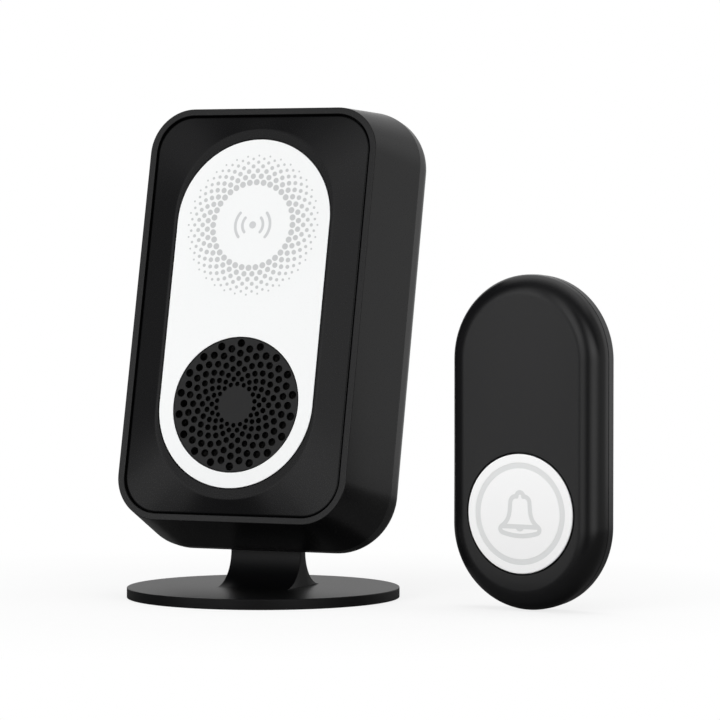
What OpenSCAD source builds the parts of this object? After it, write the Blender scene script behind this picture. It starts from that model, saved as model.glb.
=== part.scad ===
// Wireless call set for a shop counter: a receiver on a round stand, and an oblong call button.
// Millimetres. The origin is the centre of the stand's underside, +Z is up, and the faces look to -Y.
// The receiver and the button are each drawn face up in their own frame, with x to the right, y up the
// face and z towards the viewer, and are then stood up in their places.

/* [Receiver housing] */
// Width of the front rim
face_w = 64; // [62:0.5:70]
// Height of the front rim
face_h = 108; // [106:0.5:118]
// Corner radius of the front rim
face_r = 11.6; // [11:0.1:13]
// How far each side flares out between the rim and the widest outline
flare = 3.8; // [3:0.1:5]
// Depth from the rim to the widest outline
flare_depth = 20.4; // [20:0.2:24]
// Depth of the straight band behind the widest outline
band = 2.8; // [2:0.1:4]
// Radius of the rounded back edge
back_round = 6.8; // [6.5:0.1:8]
// Wall of the housing and the rear cover
wall = 2; // [1.6:0.1:2.2]
// Lean of the face from upright, in degrees
lean = 12.8; // [8:0.1:16]

/* [Front face] */
// Width of the flat front rim
rim_w = 1.7; // [1.5:0.05:2.2]
// Width of the groove between rim and fascia
groove = 0.35; // [0.2:0.05:0.7]
// How far the fascia's outer edge lies behind the rim
fascia_drop = 0.5; // [0.3:0.1:1.6]
// How far the flat middle of the fascia stands in front of the rim
plateau_rise = 1.2; // [1:0.1:2]
// Width of the fascia's flat border beside the face panel
border_side = 0.75; // [0.5:0.05:1.5]
// Width of the fascia's flat border above and below the face panel
border_end = 2.75; // [2:0.05:3.5]
// Depth from the rim to the ledge that carries the fascia
seat_depth = 5; // [4.5:0.1:6]
// Width of the oblong face panel
panel_w = 43.3; // [42:0.1:45]
// Distance from the rim's upper and lower edges to the face panel
panel_end = 8.45; // [7.5:0.05:9.5]
// Thickness of the face panel
panel_t = 1.6; // [1.4:0.1:2]
// Fine gap around the panel, the grille, the covers and the rear keys
seam = 0.15; // [0.1:0.01:0.2]
// Radius of the light window behind the panel
light_r = 18.4; // [17:0.1:18.6]

/* [Speaker] */
// Diameter of the grille disc
grille_d = 34.6; // [34:0.1:36]
// Thickness of the grille disc
grille_t = 1.5; // [1.2:0.1:1.6]
// Rings of holes in the grille
grille_rings = 9; // [6:1:10]
// Holes in each ring
grille_spokes = 18; // [12:1:18]
// Radius of the innermost ring of holes
ring_first_r = 5.35; // [5:0.05:6]
// Distance from the grille's edge to the middle of the outermost ring of holes
ring_edge = 1.35; // [1.3:0.05:2.2]
// Diameter of the holes in the innermost ring
hole_first_d = 1.25; // [1:0.05:1.3]
// Diameter of the holes in the outermost ring
hole_last_d = 2.1; // [1.6:0.05:2.2]
// Depth of the speaker basket behind its flange
basket_depth = 6.5; // [5:0.1:7]
// Diameter of the speaker magnet
magnet_d = 17; // [14:0.5:19]
// Thickness of the speaker magnet
magnet_t = 4; // [3:0.1:4.5]

/* [Stand] */
// Diameter of the round base
base_d = 70.5; // [64:0.5:80]
// Thickness of the round base
base_t = 2.5; // [2.3:0.1:3.6]
// How far the foot pad stands below the base
pad_proud = 0.2; // [0.1:0.05:0.3]
// Width of the neck
neck_w = 20; // [16:0.2:22]
// Thickness of the neck
neck_t = 3; // [2.6:0.1:3.2]
// Radius of the neck's concave foot, in front and behind
neck_flare = 9.2; // [5:0.1:9.2]
// Distance of the neck behind the middle of the base
neck_back = 3; // [0:0.5:6]
// Height at which the neck bends back into the housing
neck_top = 12.2; // [11:0.1:18]
// Length of the neck's tongue inside the housing
tongue_l = 14; // [11:0.5:15]

/* [Batteries and rear keys] */
// Diameter of a battery cell
cell_d = 10.5; // [10:0.1:10.8]
// Length of a battery cell
cell_l = 44.5; // [42:0.1:45]
// Number of battery cells
cell_count = 3; // [2:1:3]
// Distance from the rim's upper edge down to the battery bay
bay_top = 9.75; // [9:0.05:12]
// Diameter of a rear key
key_d = 7; // [6:0.1:8]
// Distance between the rear keys
key_pitch = 18; // [16:0.5:20]
// Height of the rear keys, below the middle of the face
key_low = 22; // [19:0.5:25]
// Travel of a rear key
key_travel = 0.5; // [0.3:0.05:0.6]

/* [Call button] */
// Width of the oblong button unit
remote_w = 42.7; // [40:0.1:46]
// Height of the oblong button unit
remote_h = 83.8; // [82:0.1:90]
// Depth of the button unit, back plate included
remote_t = 10.1; // [9.8:0.1:11]
// Radius of the front edge
remote_edge = 5.2; // [4:0.1:5.6]
// Wall of the button unit's shell
remote_wall = 1.6; // [1.4:0.1:1.8]
// Thickness of the back plate
plate_t = 1.7; // [1.6:0.1:1.9]
// Diameter of the push button
button_d = 30; // [28:0.1:30.5]
// Distance of the push button below the middle of the unit
button_low = 17.6; // [17:0.1:18.5]
// Travel of the push button
button_travel = 0.5; // [0.3:0.05:0.6]
// Fine gap around the push button
button_gap = 0.2; // [0.15:0.01:0.3]
// Diameter of the coin cell
coin_d = 20; // [16:0.5:20]
// Thickness of the coin cell
coin_t = 3.2; // [2.5:0.1:3.2]
// Diameter of the wall screw holes in the back plate
wall_hole_d = 3.5; // [3:0.1:4]
// Distance between the wall screw holes
wall_hole_pitch = 66; // [64:0.5:68]
// Place of the button unit to the right of the stand
remote_x = 74.65; // [66:0.05:100]
// Place of the button unit's front, behind the middle of the stand
remote_y = -8.4; // [-30:0.1:20]
// Turn of the button unit's face to the left, in degrees
remote_yaw = 8.24; // [0:0.01:15]

/* [Hidden] */
$fn = 64;
// Length by which a cut passes the face that it opens
over = 1;

// Heights in the receiver's frame, where the rim's front is 0 and the back is negative
round_z = -(flare_depth + band);
back_z = round_z - back_round;
back_in_z = back_z + wall;
edge_z = -fascia_drop;
seat_z = -seat_depth;
ledge_t = 1.6;
web_t = 1.2;
web_z = plateau_rise - panel_t;
web_back_z = web_z - web_t;

// Outlines of the receiver: the rim's opening, the fascia in it, and the window in the ledge
seat_o = -rim_w;
fascia_o = seat_o - groove;
fascia_w = face_w + 2 * fascia_o;
fascia_h = face_h + 2 * fascia_o;
fascia_r = face_r + fascia_o;
ledge_w = 3;
window_r = 14;
window_w = fascia_w - 2 * ledge_w;
window_h = fascia_h - 2 * ledge_w;
lip_t = 1.2;
lip_h = 3.5;

// The two ends of the face panel: the light above and the speaker below
panel_h = face_h - 2 * panel_end;
end_y = (panel_h - panel_w) / 2;
light_low = 0.8;
light_y = end_y - light_low;

// Speaker stack behind the fascia's web
gasket_t = 0.8;
flange_t = 0.8;
driver_r = grille_d / 2 + 0.7;
throat_r = grille_d / 2 - 0.9;
collar_r = driver_r + seam + 1.2;
flange_z = web_back_z - gasket_t;
basket_z = flange_z - flange_t;
magnet_z = basket_z - basket_depth;
basket_wall = 0.8;
basket_mouth_r = driver_r - 2.2;
clamp_r = driver_r + 1.8;
clamp_angles = [90, 210, 330];

// Screws: shank and head of the small self-tapping screws
tap_r = 1;
pilot_r = 1.05;
tap_head_r = 2.2;
tap_head_t = 1.2;
boss_r = 2.4;

// Main board on four bosses behind the light window
board_t = 1.6;
board_z = -7;
board_w = 42;
board_over = 18;
board_clear = 4;
board_low_y = -end_y + driver_r + board_clear;
board_high_y = light_y + board_over;
board_inset = 3.2;
board_r = 2;
board_screw_l = 5.6;
radio_chip = [9, 9, 1.4];
control_chip = [7, 5, 1.6];
crystal = [11, 4.5, 2.6];
chip_x = 8;
led_ring_r = 13;
led_count = 8;
led_size = [3.5, 2.8, 1.9];

// Case screws through the rear cover into posts on the housing's ledge
post_r = 3.2;
post_x = face_w / 2 - 8.5;
post_y = face_h / 2 - 8.5;
post_short = 3;
post_end_z = -(flare_depth - post_short);
shaft_l = 9;
head_well_r = 2.6;

// Battery bay in the rear cover, open to the back
cell_pitch = cell_d + 0.5;
cell_clear = 0.35;
cell_z = back_in_z + cell_clear + cell_d / 2;
nub_r = 1.9;
nub_t = 1.2;
contact_t = 0.4;
spring_l = 5.6;
spring_wire = 0.6;
spring_turns = 4;
bay_wall = 1.2;
bay_w = cell_count * cell_pitch + 0.6;
bay_h = cell_l + spring_l + 2 * contact_t;
bay_y = face_h / 2 - bay_top - bay_h / 2;
bay_floor_z = cell_z + cell_d / 2 + seam;
cover_rest = 1.4;
cover_r = 2;

// Rear keys and the small board behind them
key_proud = 0.4;
key_flange = 1;
key_stop = 0.2;
stem_r = 1.5;
key_board_t = 1.2;
key_switch_t = 1.6;
key_switch_w = 6;
key_board_z = back_in_z + 7.6;
key_board_h = 11;
key_post_x = (key_pitch + key_d) / 2 + key_flange + boss_r + 0.6;
key_board_w = 2 * (key_post_x + boss_r + 0.6);
key_screw_l = 5.2;

// Neck, tongue and socket
neck_fit = 0.15;
tongue_z = back_in_z + neck_fit + neck_t / 2;
tongue_foot_y = -(face_h / 2 + flare) + 0.9;
tongue_end_y = tongue_foot_y + tongue_l;
stand_screw_y = tongue_end_y - 5.5;
stand_screw_r = 1.4;
stand_head_r = 2.8;
stand_head_z = back_z + tap_head_t;
base_top = pad_proud + base_t;
base_roof = 1;
base_rim = 3;
weight_t = 1;
bend = neck_t / 2 * tan(lean / 2);

// Places of the two units in the part's frame
receiver_place = [0,
                  neck_back - tongue_foot_y * sin(lean) + tongue_z * cos(lean),
                  neck_top - tongue_foot_y * cos(lean) - tongue_z * sin(lean)];

// Heights in the button unit's frame, where the front face is 0 and the back is negative
remote_back_z = -remote_t;
plate_z = -(remote_t - plate_t);
plate_rim = 1.9;
parting_z = plate_z + plate_rim;
button_proud = 0.2;
cap_t = 1.5;
cap_back_z = button_proud - cap_t;
flange_stop = 0.1;
button_flange_z = -(remote_wall + flange_stop);
button_flange_t = 0.8;
button_flange_r = button_d / 2 + 1.2;
skirt_t = 1.8;
ring_out_r = button_d * 0.425;
ring_in_r = button_d * 0.3775;
ring_deep = 0.25;
plunger_r = 1.1;
plunger_gap = 0.12;
nub_z = cap_back_z - 0.7;
switch_t = 1.5;
switch_z = nub_z - 0.5;
remote_board_z = switch_z - switch_t;
remote_board_t = 1;
switch_w = 5.2;
remote_edge_gap = 0.6;
coin_y = 17;
coin_z = remote_board_z - remote_board_t - 0.2;
holder_gap = 0.2;
holder_t = 1.2;
holder_h = 2.6;
remote_post_x = remote_w / 2 - 6.6;
remote_post_y = 1;
remote_post_r = 2.2;
pillar_r = 1.5;
pillar_x = 10;
pillar_y = remote_h / 2 - 8.8;
plate_edge = 0.6;
plate_lip_h = 1;
plate_lip_t = 1;
back_screw_r = 0.85;
back_screw_l = 4.7;
back_head_r = 1.75;
back_head_t = 0.8;
back_head_z = remote_back_z + back_head_t + 0.1;
remote_chip_size = [6, 5, 1.2];
remote_chip_y = -6;

// Points on an arc about [cx, cy] in n steps
function arc(cx, cy, r, from, to, n) =
    [for (i = [0:n]) let (a = from + (to - from) * i / n) [cx + r * cos(a), cy + r * sin(a)]];

// Rectangle with round corners
function round_rect(w, h, r, n = 8) =
    let (x = w / 2 - r, y = h / 2 - r)
    concat(arc(x, y, r, 0, 90, n), arc(-x, y, r, 90, 180, n),
           arc(-x, -y, r, 180, 270, n), arc(x, -y, r, 270, 360, n));

// Oblong with fully round ends
function stadium(w, h, n = 20) =
    let (r = w / 2, y = h / 2 - r)
    concat(arc(0, y, r, 0, 180, n), arc(0, -y, r, 180, 360, n));

// Middle stretch of a line from a to b in n steps, without its ends
function between(a, b, n) = [for (i = [1:n - 1]) a + (b - a) * i / n];

// Rectangle with round corners, with points along its straight edges too
function edged_rect(w, h, r) =
    let (x = w / 2 - r, y = h / 2 - r)
    concat(arc(x, y, r, 0, 90, 8), between([x, h / 2], [-x, h / 2], 10),
           arc(-x, y, r, 90, 180, 8), between([-w / 2, y], [-w / 2, -y], 16),
           arc(-x, -y, r, 180, 270, 8), between([-x, -h / 2], [x, -h / 2], 10),
           arc(x, -y, r, 270, 360, 8), between([w / 2, -y], [w / 2, y], 16));

// The point of an oblong with round ends that lies nearest to p, straight in from p
function onto_oblong(p, w, h) =
    let (reach = h / 2 - w / 2, q = [0, max(-reach, min(reach, p[1]))])
    q + w / 2 * (p - q) / norm(p - q);

// The receiver's outline moved out by o, and the flare at a depth behind the rim
function outline(o) = round_rect(face_w + 2 * o, face_h + 2 * o, face_r + o);
function flare_at(depth) = flare * depth / flare_depth;

// The button unit's outline moved out by o
function oblong(o) = stadium(remote_w + 2 * o, remote_h + 2 * o);

// Straight wall over a flat outline, from height z0 up to z1
module prism(loop, z0, z1) {
    translate([0, 0, z0])
        linear_extrude(z1 - z0)
            polygon(loop);
}

// Skin through outlines of equal point count round the origin, at rising heights, with caps that fan out from it
module loft(loops, heights) {
    n = len(loops[0]);
    top = len(loops) - 1;
    points = concat([for (k = [0:top]) for (p = loops[k]) [p[0], p[1], heights[k]]],
                    [[0, 0, heights[0]], [0, 0, heights[top]]]);
    low = (top + 1) * n;
    caps = [for (i = [0:n - 1]) each [[low, i, (i + 1) % n], [low + 1, top * n + (i + 1) % n, top * n + i]]];
    lower_tris = [for (k = [0:top - 1]) for (i = [0:n - 1])
                  [k * n + i, (k + 1) * n + i, (k + 1) * n + (i + 1) % n]];
    upper_tris = [for (k = [0:top - 1]) for (i = [0:n - 1])
                  [k * n + i, (k + 1) * n + (i + 1) % n, k * n + (i + 1) % n]];
    polyhedron(points, concat(caps, lower_tris, upper_tris));
}

// Cylinder from height z0 up to z1 at [x, y]
module rod(r, z0, z1, x = 0, y = 0) {
    translate([x, y, z0])
        cylinder(r = r, h = z1 - z0);
}

// Flat ring from height z0 up to z1 at [x, y]
module ring(r_in, r_out, z0, z1, x = 0, y = 0) {
    difference() {
        rod(r_out, z0, z1, x, y);
        rod(r_in, z0 - over, z1 + over, x, y);
    }
}

// Block centred on [x, y], from height z0 up to z1
module block(w, h, z0, z1, x = 0, y = 0) {
    translate([x - w / 2, y - h / 2, z0])
        cube([w, h, z1 - z0]);
}

// Pan-head screw, driven towards +z: the head lies below head_z and the shank above it
module screw_up(shank_r, shank_l, head_r, head_t, head_z, x, y) {
    rod(shank_r, head_z, head_z + shank_l, x, y);
    difference() {
        rod(head_r, head_z - head_t, head_z, x, y);
        for (turn = [0, 90])
            translate([x, y, head_z - head_t])
                rotate(turn)
                    block(head_r * 1.2, head_r * 0.28, -over, head_t * 0.5);
    }
}

// Pan-head screw, driven towards -z
module screw_down(shank_r, shank_l, head_r, head_t, head_z, x, y) {
    mirror([0, 0, 1])
        screw_up(shank_r, shank_l, head_r, head_t, -head_z, x, y);
}

// Stands the receiver on its neck, leaning back
module in_receiver() {
    translate(receiver_place)
        rotate([90 - lean, 0, 0])
            children();
}

// Stands the button unit on the counter beside the receiver
module in_remote() {
    translate([remote_x, remote_y, remote_h / 2])
        rotate([0, 0, -remote_yaw])
            rotate([90, 0, 0])
                children();
}

// The four case screws' places
module at_posts() {
    for (sx = [-1, 1], sy = [-1, 1])
        translate([sx * post_x, sy * post_y, 0])
            children();
}

// The main board's four bosses
module at_board_bosses() {
    for (sx = [-1, 1], y = [board_low_y + board_inset, board_high_y - board_inset])
        translate([sx * (board_w / 2 - board_inset), y, 0])
            children();
}

// Places of the clamp screws around the speaker
module at_clamps() {
    for (a = clamp_angles)
        translate([clamp_r * cos(a), -end_y + clamp_r * sin(a), 0])
            children();
}

// Stand: round base with a recess below, and a blade neck with concave feet that leans back
module stand() {
    front = neck_back - neck_t / 2;
    rear = neck_back + neck_t / 2;
    foot_z = base_top + neck_flare;
    tip = [neck_back + tongue_l * sin(lean), neck_top + tongue_l * cos(lean)];
    half = neck_t / 2 * [cos(lean), -sin(lean)];
    side = concat([[front - neck_flare, base_top - base_roof / 2],
                   [rear + neck_flare, base_top - base_roof / 2]],
                  arc(rear + neck_flare, foot_z, neck_flare, 270, 180, 10),
                  [[rear, neck_top - bend], tip + half, tip - half, [front, neck_top + bend]],
                  arc(front - neck_flare, foot_z, neck_flare, 0, -90, 10));
    edge = 0.3;
    color("#1c1c1d") difference() {
        union() {
            rotate_extrude($fn = 96)
                polygon([[0, pad_proud], [base_d / 2 - edge, pad_proud],
                         [base_d / 2, pad_proud + edge], [base_d / 2, base_top - edge],
                         [base_d / 2 - edge, base_top], [0, base_top]]);
            translate([-neck_w / 2, 0, 0])
                rotate([90, 0, 90])
                    linear_extrude(neck_w)
                        polygon(side);
        }
        rod(base_d / 2 - base_rim, -over, base_top - base_roof);
        in_receiver()
            rod(stand_screw_r, back_z, 0, 0, stand_screw_y);
    }
}

// Steel disc pressed into the base's recess, which keeps the receiver from tipping
module base_weight() {
    color("#8c8f92")
        rod(base_d / 2 - base_rim - seam, base_top - base_roof - weight_t, base_top - base_roof);
}

// Rubber foam disc that closes the recess and rests on the counter
module foot_pad() {
    color("#202020")
        rod(base_d / 2 - base_rim - seam, 0, base_top - base_roof - weight_t);
}

// Screw through the rear cover's back wall into the neck's tongue
module stand_screw() {
    color("#9a9a9a") in_receiver()
        screw_up(stand_screw_r - 0.05, tongue_z + neck_t / 2 - 0.3 - stand_head_z, stand_head_r - 0.2,
                 tap_head_t, stand_head_z, 0, stand_screw_y);
}

// Housing: flared sleeve with the flat rim in front, a ledge for the fascia and four screw posts
module housing() {
    seat = outline(seat_o);
    color("#1b1b1c") in_receiver() difference() {
        union() {
            difference() {
                loft([outline(flare), outline(0)], [-flare_depth, 0]);
                prism(seat, seat_z, over);
                loft([outline(flare_at(flare_depth + over) - wall),
                      outline(flare_at(seat_depth + ledge_t) - wall)],
                     [-flare_depth - over, seat_z - ledge_t]);
                prism(round_rect(window_w, window_h, window_r), -flare_depth, over);
            }
            at_posts() rod(post_r, post_end_z, seat_z - ledge_t / 2);
        }
        at_posts() rod(pilot_r, post_end_z - over, post_end_z + shaft_l + over);
    }
}

// Fascia: convex front whose straight rulings rise from the rim's groove to a flat oblong plateau, with
// the panel's pocket, the light window, the speaker's throat and collar, and bosses for the main board
module fascia() {
    skirt = 1.8;
    edge = edged_rect(fascia_w, fascia_h, fascia_r);
    plateau = [for (p = edge) onto_oblong(p, panel_w + 2 * border_side, panel_h + 2 * border_end)];
    inside = edged_rect(fascia_w - 2 * skirt, fascia_h - 2 * skirt, fascia_r - skirt);
    roof = [for (p = inside) onto_oblong(p, panel_w, panel_h)];
    color("#1d1d1e") in_receiver() difference() {
        union() {
            difference() {
                loft([edge, edge, plateau], [seat_z, edge_z, plateau_rise]);
                loft([inside, inside, roof], [seat_z - over, edge_z - wall, web_back_z]);
            }
            ring(driver_r + seam, collar_r, basket_z, web_back_z + web_t / 2, 0, -end_y);
            difference() {
                at_clamps() rod(tap_r + 1, basket_z, web_back_z + web_t / 2);
                rod(driver_r + seam, basket_z - over, web_back_z, 0, -end_y);
            }
            at_board_bosses() rod(boss_r, board_z, web_back_z + web_t / 2);
        }
        prism(stadium(panel_w + 2 * seam, panel_h + 2 * seam), web_z, plateau_rise + over);
        rod(throat_r, web_back_z - over, plateau_rise, 0, -end_y);
        rod(light_r, web_back_z - over, plateau_rise, 0, light_y);
        at_board_bosses() rod(pilot_r, board_z - over, web_back_z);
        at_clamps() rod(tap_r * 0.6, basket_z - over, web_back_z);
    }
}

// Oblong white panel, laid flush in the fascia's pocket, with a round opening for the grille
module face_panel() {
    color("#f4f5f5") in_receiver() difference() {
        prism(stadium(panel_w, panel_h), web_z, plateau_rise);
        rod(grille_d / 2 + seam, web_z - over, plateau_rise + over, 0, -end_y);
    }
}

// Grille: disc with rings of holes that grow outwards, each ring turned by half a step from the next
module speaker_grille() {
    ring_last_r = grille_d / 2 - ring_edge;
    ring_step = (ring_last_r - ring_first_r) / (grille_rings - 1);
    hole_step = (hole_last_d - hole_first_d) / (grille_rings - 1);
    turn = 360 / grille_spokes;
    color("#2a2a2b") in_receiver() translate([0, -end_y, 0]) difference() {
        rod(grille_d / 2, web_z, web_z + grille_t);
        for (i = [0:grille_rings - 1], k = [0:grille_spokes - 1])
            rotate((k + (grille_rings - 1 - i) % 2 / 2) * turn - 90)
                rod((hole_first_d + i * hole_step) / 2, web_z - over, web_z + grille_t + over,
                    ring_first_r + i * ring_step);
    }
}

// Foam ring between the fascia's web and the speaker's flange
module speaker_gasket() {
    color("#2b2b2b") in_receiver()
        ring(throat_r, driver_r, flange_z, web_back_z, 0, -end_y);
}

// Pressed steel basket: flange, conical wall with windows, and the plate that carries the magnet
module speaker_basket() {
    foot_r = magnet_d / 2 + 1;
    bend_z = flange_z - 2;
    color("#5a5d60") in_receiver() translate([0, -end_y, 0]) difference() {
        rotate_extrude()
            polygon([[driver_r, flange_z], [basket_mouth_r, flange_z], [basket_mouth_r, bend_z],
                     [foot_r - basket_wall, magnet_z + basket_wall], [0, magnet_z + basket_wall],
                     [0, magnet_z], [foot_r, magnet_z], [basket_mouth_r + basket_wall, bend_z],
                     [basket_mouth_r + basket_wall, basket_z], [driver_r, basket_z]]);
        for (k = [0:3])
            rotate(45 + 90 * k)
                translate([(foot_r + basket_mouth_r) / 2, 0, 0])
                    block((basket_mouth_r - foot_r) * 0.55, 7, magnet_z - over, bend_z - basket_wall);
    }
}

// Paper cone with its rolled edge and dust cap, hung in the basket's mouth
module speaker_cone() {
    rim_r = basket_mouth_r - seam;
    cap_r = 5;
    deep = basket_depth * 0.45;
    paper = 0.4;
    color("#161616") in_receiver() translate([0, -end_y, flange_z]) rotate_extrude()
        polygon(concat([[rim_r, 0], [rim_r - 1.2, 0]],
                       [for (i = [1:5]) [rim_r - 2.2 + cos(36 * i), -0.3 - sin(36 * i) * 0.6]],
                       [[cap_r, -deep]],
                       [for (i = [0:5]) [cap_r * cos(18 * i), -deep + cap_r * 0.3 * sin(18 * i)]],
                       [[0, -deep - paper], [cap_r + paper, -deep - paper],
                        [rim_r - 2.6, -1.5], [rim_r, -1.2]]));
}

// Ferrite ring magnet with its pole plate, glued to the back of the basket
module speaker_magnet() {
    color("#3c3d40") in_receiver() {
        rod(magnet_d / 2, magnet_z - magnet_t, magnet_z, 0, -end_y);
        rod(magnet_d / 2 + 0.6, magnet_z - magnet_t - 1, magnet_z - magnet_t, 0, -end_y);
    }
}

// Three screws whose heads clamp the speaker's flange to the fascia
module speaker_screws() {
    color("#a8a8a8") in_receiver() at_clamps()
        screw_up(tap_r * 0.6 - 0.05, -basket_z + web_back_z, tap_r + 1.4, tap_head_t, basket_z, 0, 0);
}

// Frosted disc behind the panel's upper end, which spreads the call light, kept clear of the collar
module light_diffuser() {
    flange = 1.2;
    color("#e8ecee") in_receiver() difference() {
        union() {
            rod(light_r - seam, web_back_z - gasket_t, web_z, 0, light_y);
            rod(light_r + flange, web_back_z - gasket_t, web_back_z, 0, light_y);
        }
        rod(collar_r + seam, web_back_z - gasket_t - over, web_back_z, 0, -end_y);
    }
}

// Ring of light-emitting diodes on the main board
module indicator_leds() {
    color("#f2efe2") in_receiver() for (k = [0:led_count - 1])
        translate([0, light_y, 0])
            rotate(360 / led_count * k)
                translate([led_ring_r, 0, 0]) {
                    block(led_size[0], led_size[1], board_z, board_z + led_size[2] / 2);
                    rod(led_size[1] / 2 - 0.2, board_z, board_z + led_size[2]);
                }
}

// Main board, drilled for its four screws
module main_board() {
    color("#1f6b3a") in_receiver() difference() {
        translate([0, (board_low_y + board_high_y) / 2, 0])
            prism(round_rect(board_w, board_high_y - board_low_y, board_r), board_z - board_t, board_z);
        at_board_bosses() rod(tap_r + 0.15, board_z - board_t - over, board_z + over);
    }
}

// Radio receiver chip, controller and crystal on the back of the main board
module board_chips() {
    z = board_z - board_t;
    color("#26272a") in_receiver() {
        block(radio_chip[0], radio_chip[1], z - radio_chip[2], z, -chip_x, light_y + chip_x / 2);
        block(control_chip[0], control_chip[1], z - control_chip[2], z, chip_x, light_y - chip_x);
        block(crystal[0], crystal[1], z - crystal[2], z, chip_x, light_y + chip_x);
    }
}

// Four screws that hold the main board to the fascia's bosses
module board_screws() {
    color("#a8a8a8") in_receiver() at_board_bosses()
        screw_up(tap_r, board_screw_l, tap_head_r, tap_head_t, board_z - board_t, 0, 0);
}

// Rear cover: rounded back with a lip into the housing, screw wells, key bores, the neck's socket
// and the battery bay
module rear_cover() {
    steps = 7;
    bow = [for (i = [steps:-1:0]) 90 * i / steps];
    in_round = back_round - wall;
    back_loops = concat([for (a = bow) outline(flare - back_round * (1 - cos(a)))], [outline(flare)]);
    back_heights = concat([for (a = bow) round_z - back_round * sin(a)], [-flare_depth]);
    lip_o = flare_at(flare_depth - lip_h) - wall - seam;
    socket_w = neck_w + 2 * (neck_fit + wall);
    socket_front = tongue_z + neck_t / 2 + neck_fit;
    socket_h = tongue_l + neck_fit + wall;
    color("#1a1a1b") in_receiver() difference() {
        union() {
            difference() {
                loft(back_loops, back_heights);
                loft(concat([for (a = bow) outline(flare - wall - in_round * (1 - cos(a)))],
                            [outline(flare - wall)]),
                     concat([for (a = bow) round_z - in_round * sin(a)], [-flare_depth + over]));
            }
            difference() {
                union() {
                    prism(outline(flare - wall * 0.7), -flare_depth - wall, -flare_depth);
                    loft([outline(flare - wall - seam), outline(lip_o)],
                         [-flare_depth, -flare_depth + lip_h]);
                }
                prism(outline(lip_o - lip_t), -flare_depth - wall - over, 0);
            }
            intersection() {
                union() {
                    at_posts() rod(post_r, back_z, post_end_z);
                    block(socket_w, socket_h + wall, back_z, socket_front + wall,
                          0, tongue_foot_y - wall + (socket_h + wall) / 2);
                    block(bay_w + 2 * bay_wall, bay_h + 2 * bay_wall, back_in_z - wall / 2,
                          bay_floor_z + bay_wall, 0, bay_y);
                    for (sx = [-1, 1])
                        rod(boss_r, back_in_z - wall / 2, key_board_z - key_board_t,
                            sx * key_post_x, -key_low);
                }
                union() {
                    loft(back_loops, back_heights);
                    prism(outline(lip_o - lip_t / 2), -flare_depth, 0);
                }
            }
        }
        at_posts() rod(tap_r + 0.2, back_z - over, 0);
        at_posts() rod(head_well_r, back_z - over, post_end_z - wall);
        for (sx = [-1, 1]) {
            rod(key_d / 2 + seam, back_z - over, back_in_z + over, sx * key_pitch / 2, -key_low);
            rod(pilot_r, back_in_z, key_board_z, sx * key_post_x, -key_low);
        }
        block(neck_w + 2 * neck_fit, tongue_l + neck_fit + 2 * wall, tongue_z - neck_t / 2 - neck_fit,
              socket_front, 0, tongue_end_y + neck_fit - (tongue_l + neck_fit + 2 * wall) / 2);
        rod(stand_screw_r + 0.2, back_z - over, tongue_z, 0, stand_screw_y);
        rod(stand_head_r, back_z - over, stand_head_z, 0, stand_screw_y);
        block(bay_w, bay_h, back_z - over, bay_floor_z, 0, bay_y);
        translate([0, bay_y, 0])
            prism(round_rect(bay_w + 2 * cover_rest, bay_h + 2 * cover_rest, cover_r),
                  back_z - over, back_in_z);
    }
}

// Four screws, deep in the rear cover's wells, driven into the housing's posts
module case_screws() {
    color("#8d8d8d") in_receiver() at_posts()
        screw_up(tap_r, shaft_l + wall, tap_head_r, tap_head_t, post_end_z - wall, 0, 0);
}

// Small board for the two rear keys, on posts in the rear cover
module key_board() {
    color("#1f6b3a") in_receiver() difference() {
        block(key_board_w, key_board_h, key_board_z - key_board_t, key_board_z, 0, -key_low);
        for (sx = [-1, 1])
            rod(tap_r + 0.15, key_board_z - key_board_t - over, key_board_z + over,
                sx * key_post_x, -key_low);
    }
}

// Two push switches on the small board, each with a round mouth for its key's stem
module key_switches() {
    top_z = key_board_z - key_board_t - key_switch_t;
    color("#3a3a3c") in_receiver() for (sx = [-1, 1]) difference() {
        block(key_switch_w, key_switch_w, top_z, top_z + key_switch_t, sx * key_pitch / 2, -key_low);
        rod(stem_r + seam, top_z - over, top_z + key_travel + 0.5, sx * key_pitch / 2, -key_low);
    }
}

// Two screws that hold the small board to its posts
module key_board_screws() {
    color("#a8a8a8") in_receiver() for (sx = [-1, 1])
        screw_down(tap_r, key_screw_l, tap_head_r, tap_head_t, key_board_z, sx * key_post_x, -key_low);
}

// Rear key at x: a dished cap, a flange that stops it behind the wall, and a stem into its switch
module rear_key(x) {
    mouth_z = key_board_z - key_board_t - key_switch_t;
    dish_r = key_d * 1.6;
    dish = 0.35;
    color("#2c2c2e") in_receiver() difference() {
        union() {
            rod(key_d / 2, back_z - key_proud, back_in_z + key_stop, x, -key_low);
            rod(key_d / 2 + key_flange, back_in_z + key_stop, back_in_z + key_stop + key_flange, x, -key_low);
            rod(stem_r, back_in_z + key_stop, mouth_z + 0.2, x, -key_low);
        }
        translate([x, -key_low, back_z - key_proud + dish - dish_r])
            sphere(dish_r);
    }
}

// Key on the left, seen from the front, that sets the loudness
module volume_key() {
    rear_key(-key_pitch / 2);
}

// Key on the right, seen from the front, that steps through the chimes
module melody_key() {
    rear_key(key_pitch / 2);
}

// Ends of the bay's length
bay_low_y = bay_y - bay_h / 2;
bay_high_y = bay_y + bay_h / 2;

// Middle of cell k across the bay, and whether its nub points up
function cell_x(k) = (k - (cell_count - 1) / 2) * cell_pitch;
function cell_up(k) = k % 2 == 0;

// Turns a piece of cell k over when the cell is the other way up
module at_cell(k) {
    translate([cell_x(k), bay_y, cell_z])
        rotate([cell_up(k) ? -90 : 90, 0, 0])
            translate([0, 0, -bay_h / 2])
                children();
}

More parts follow.
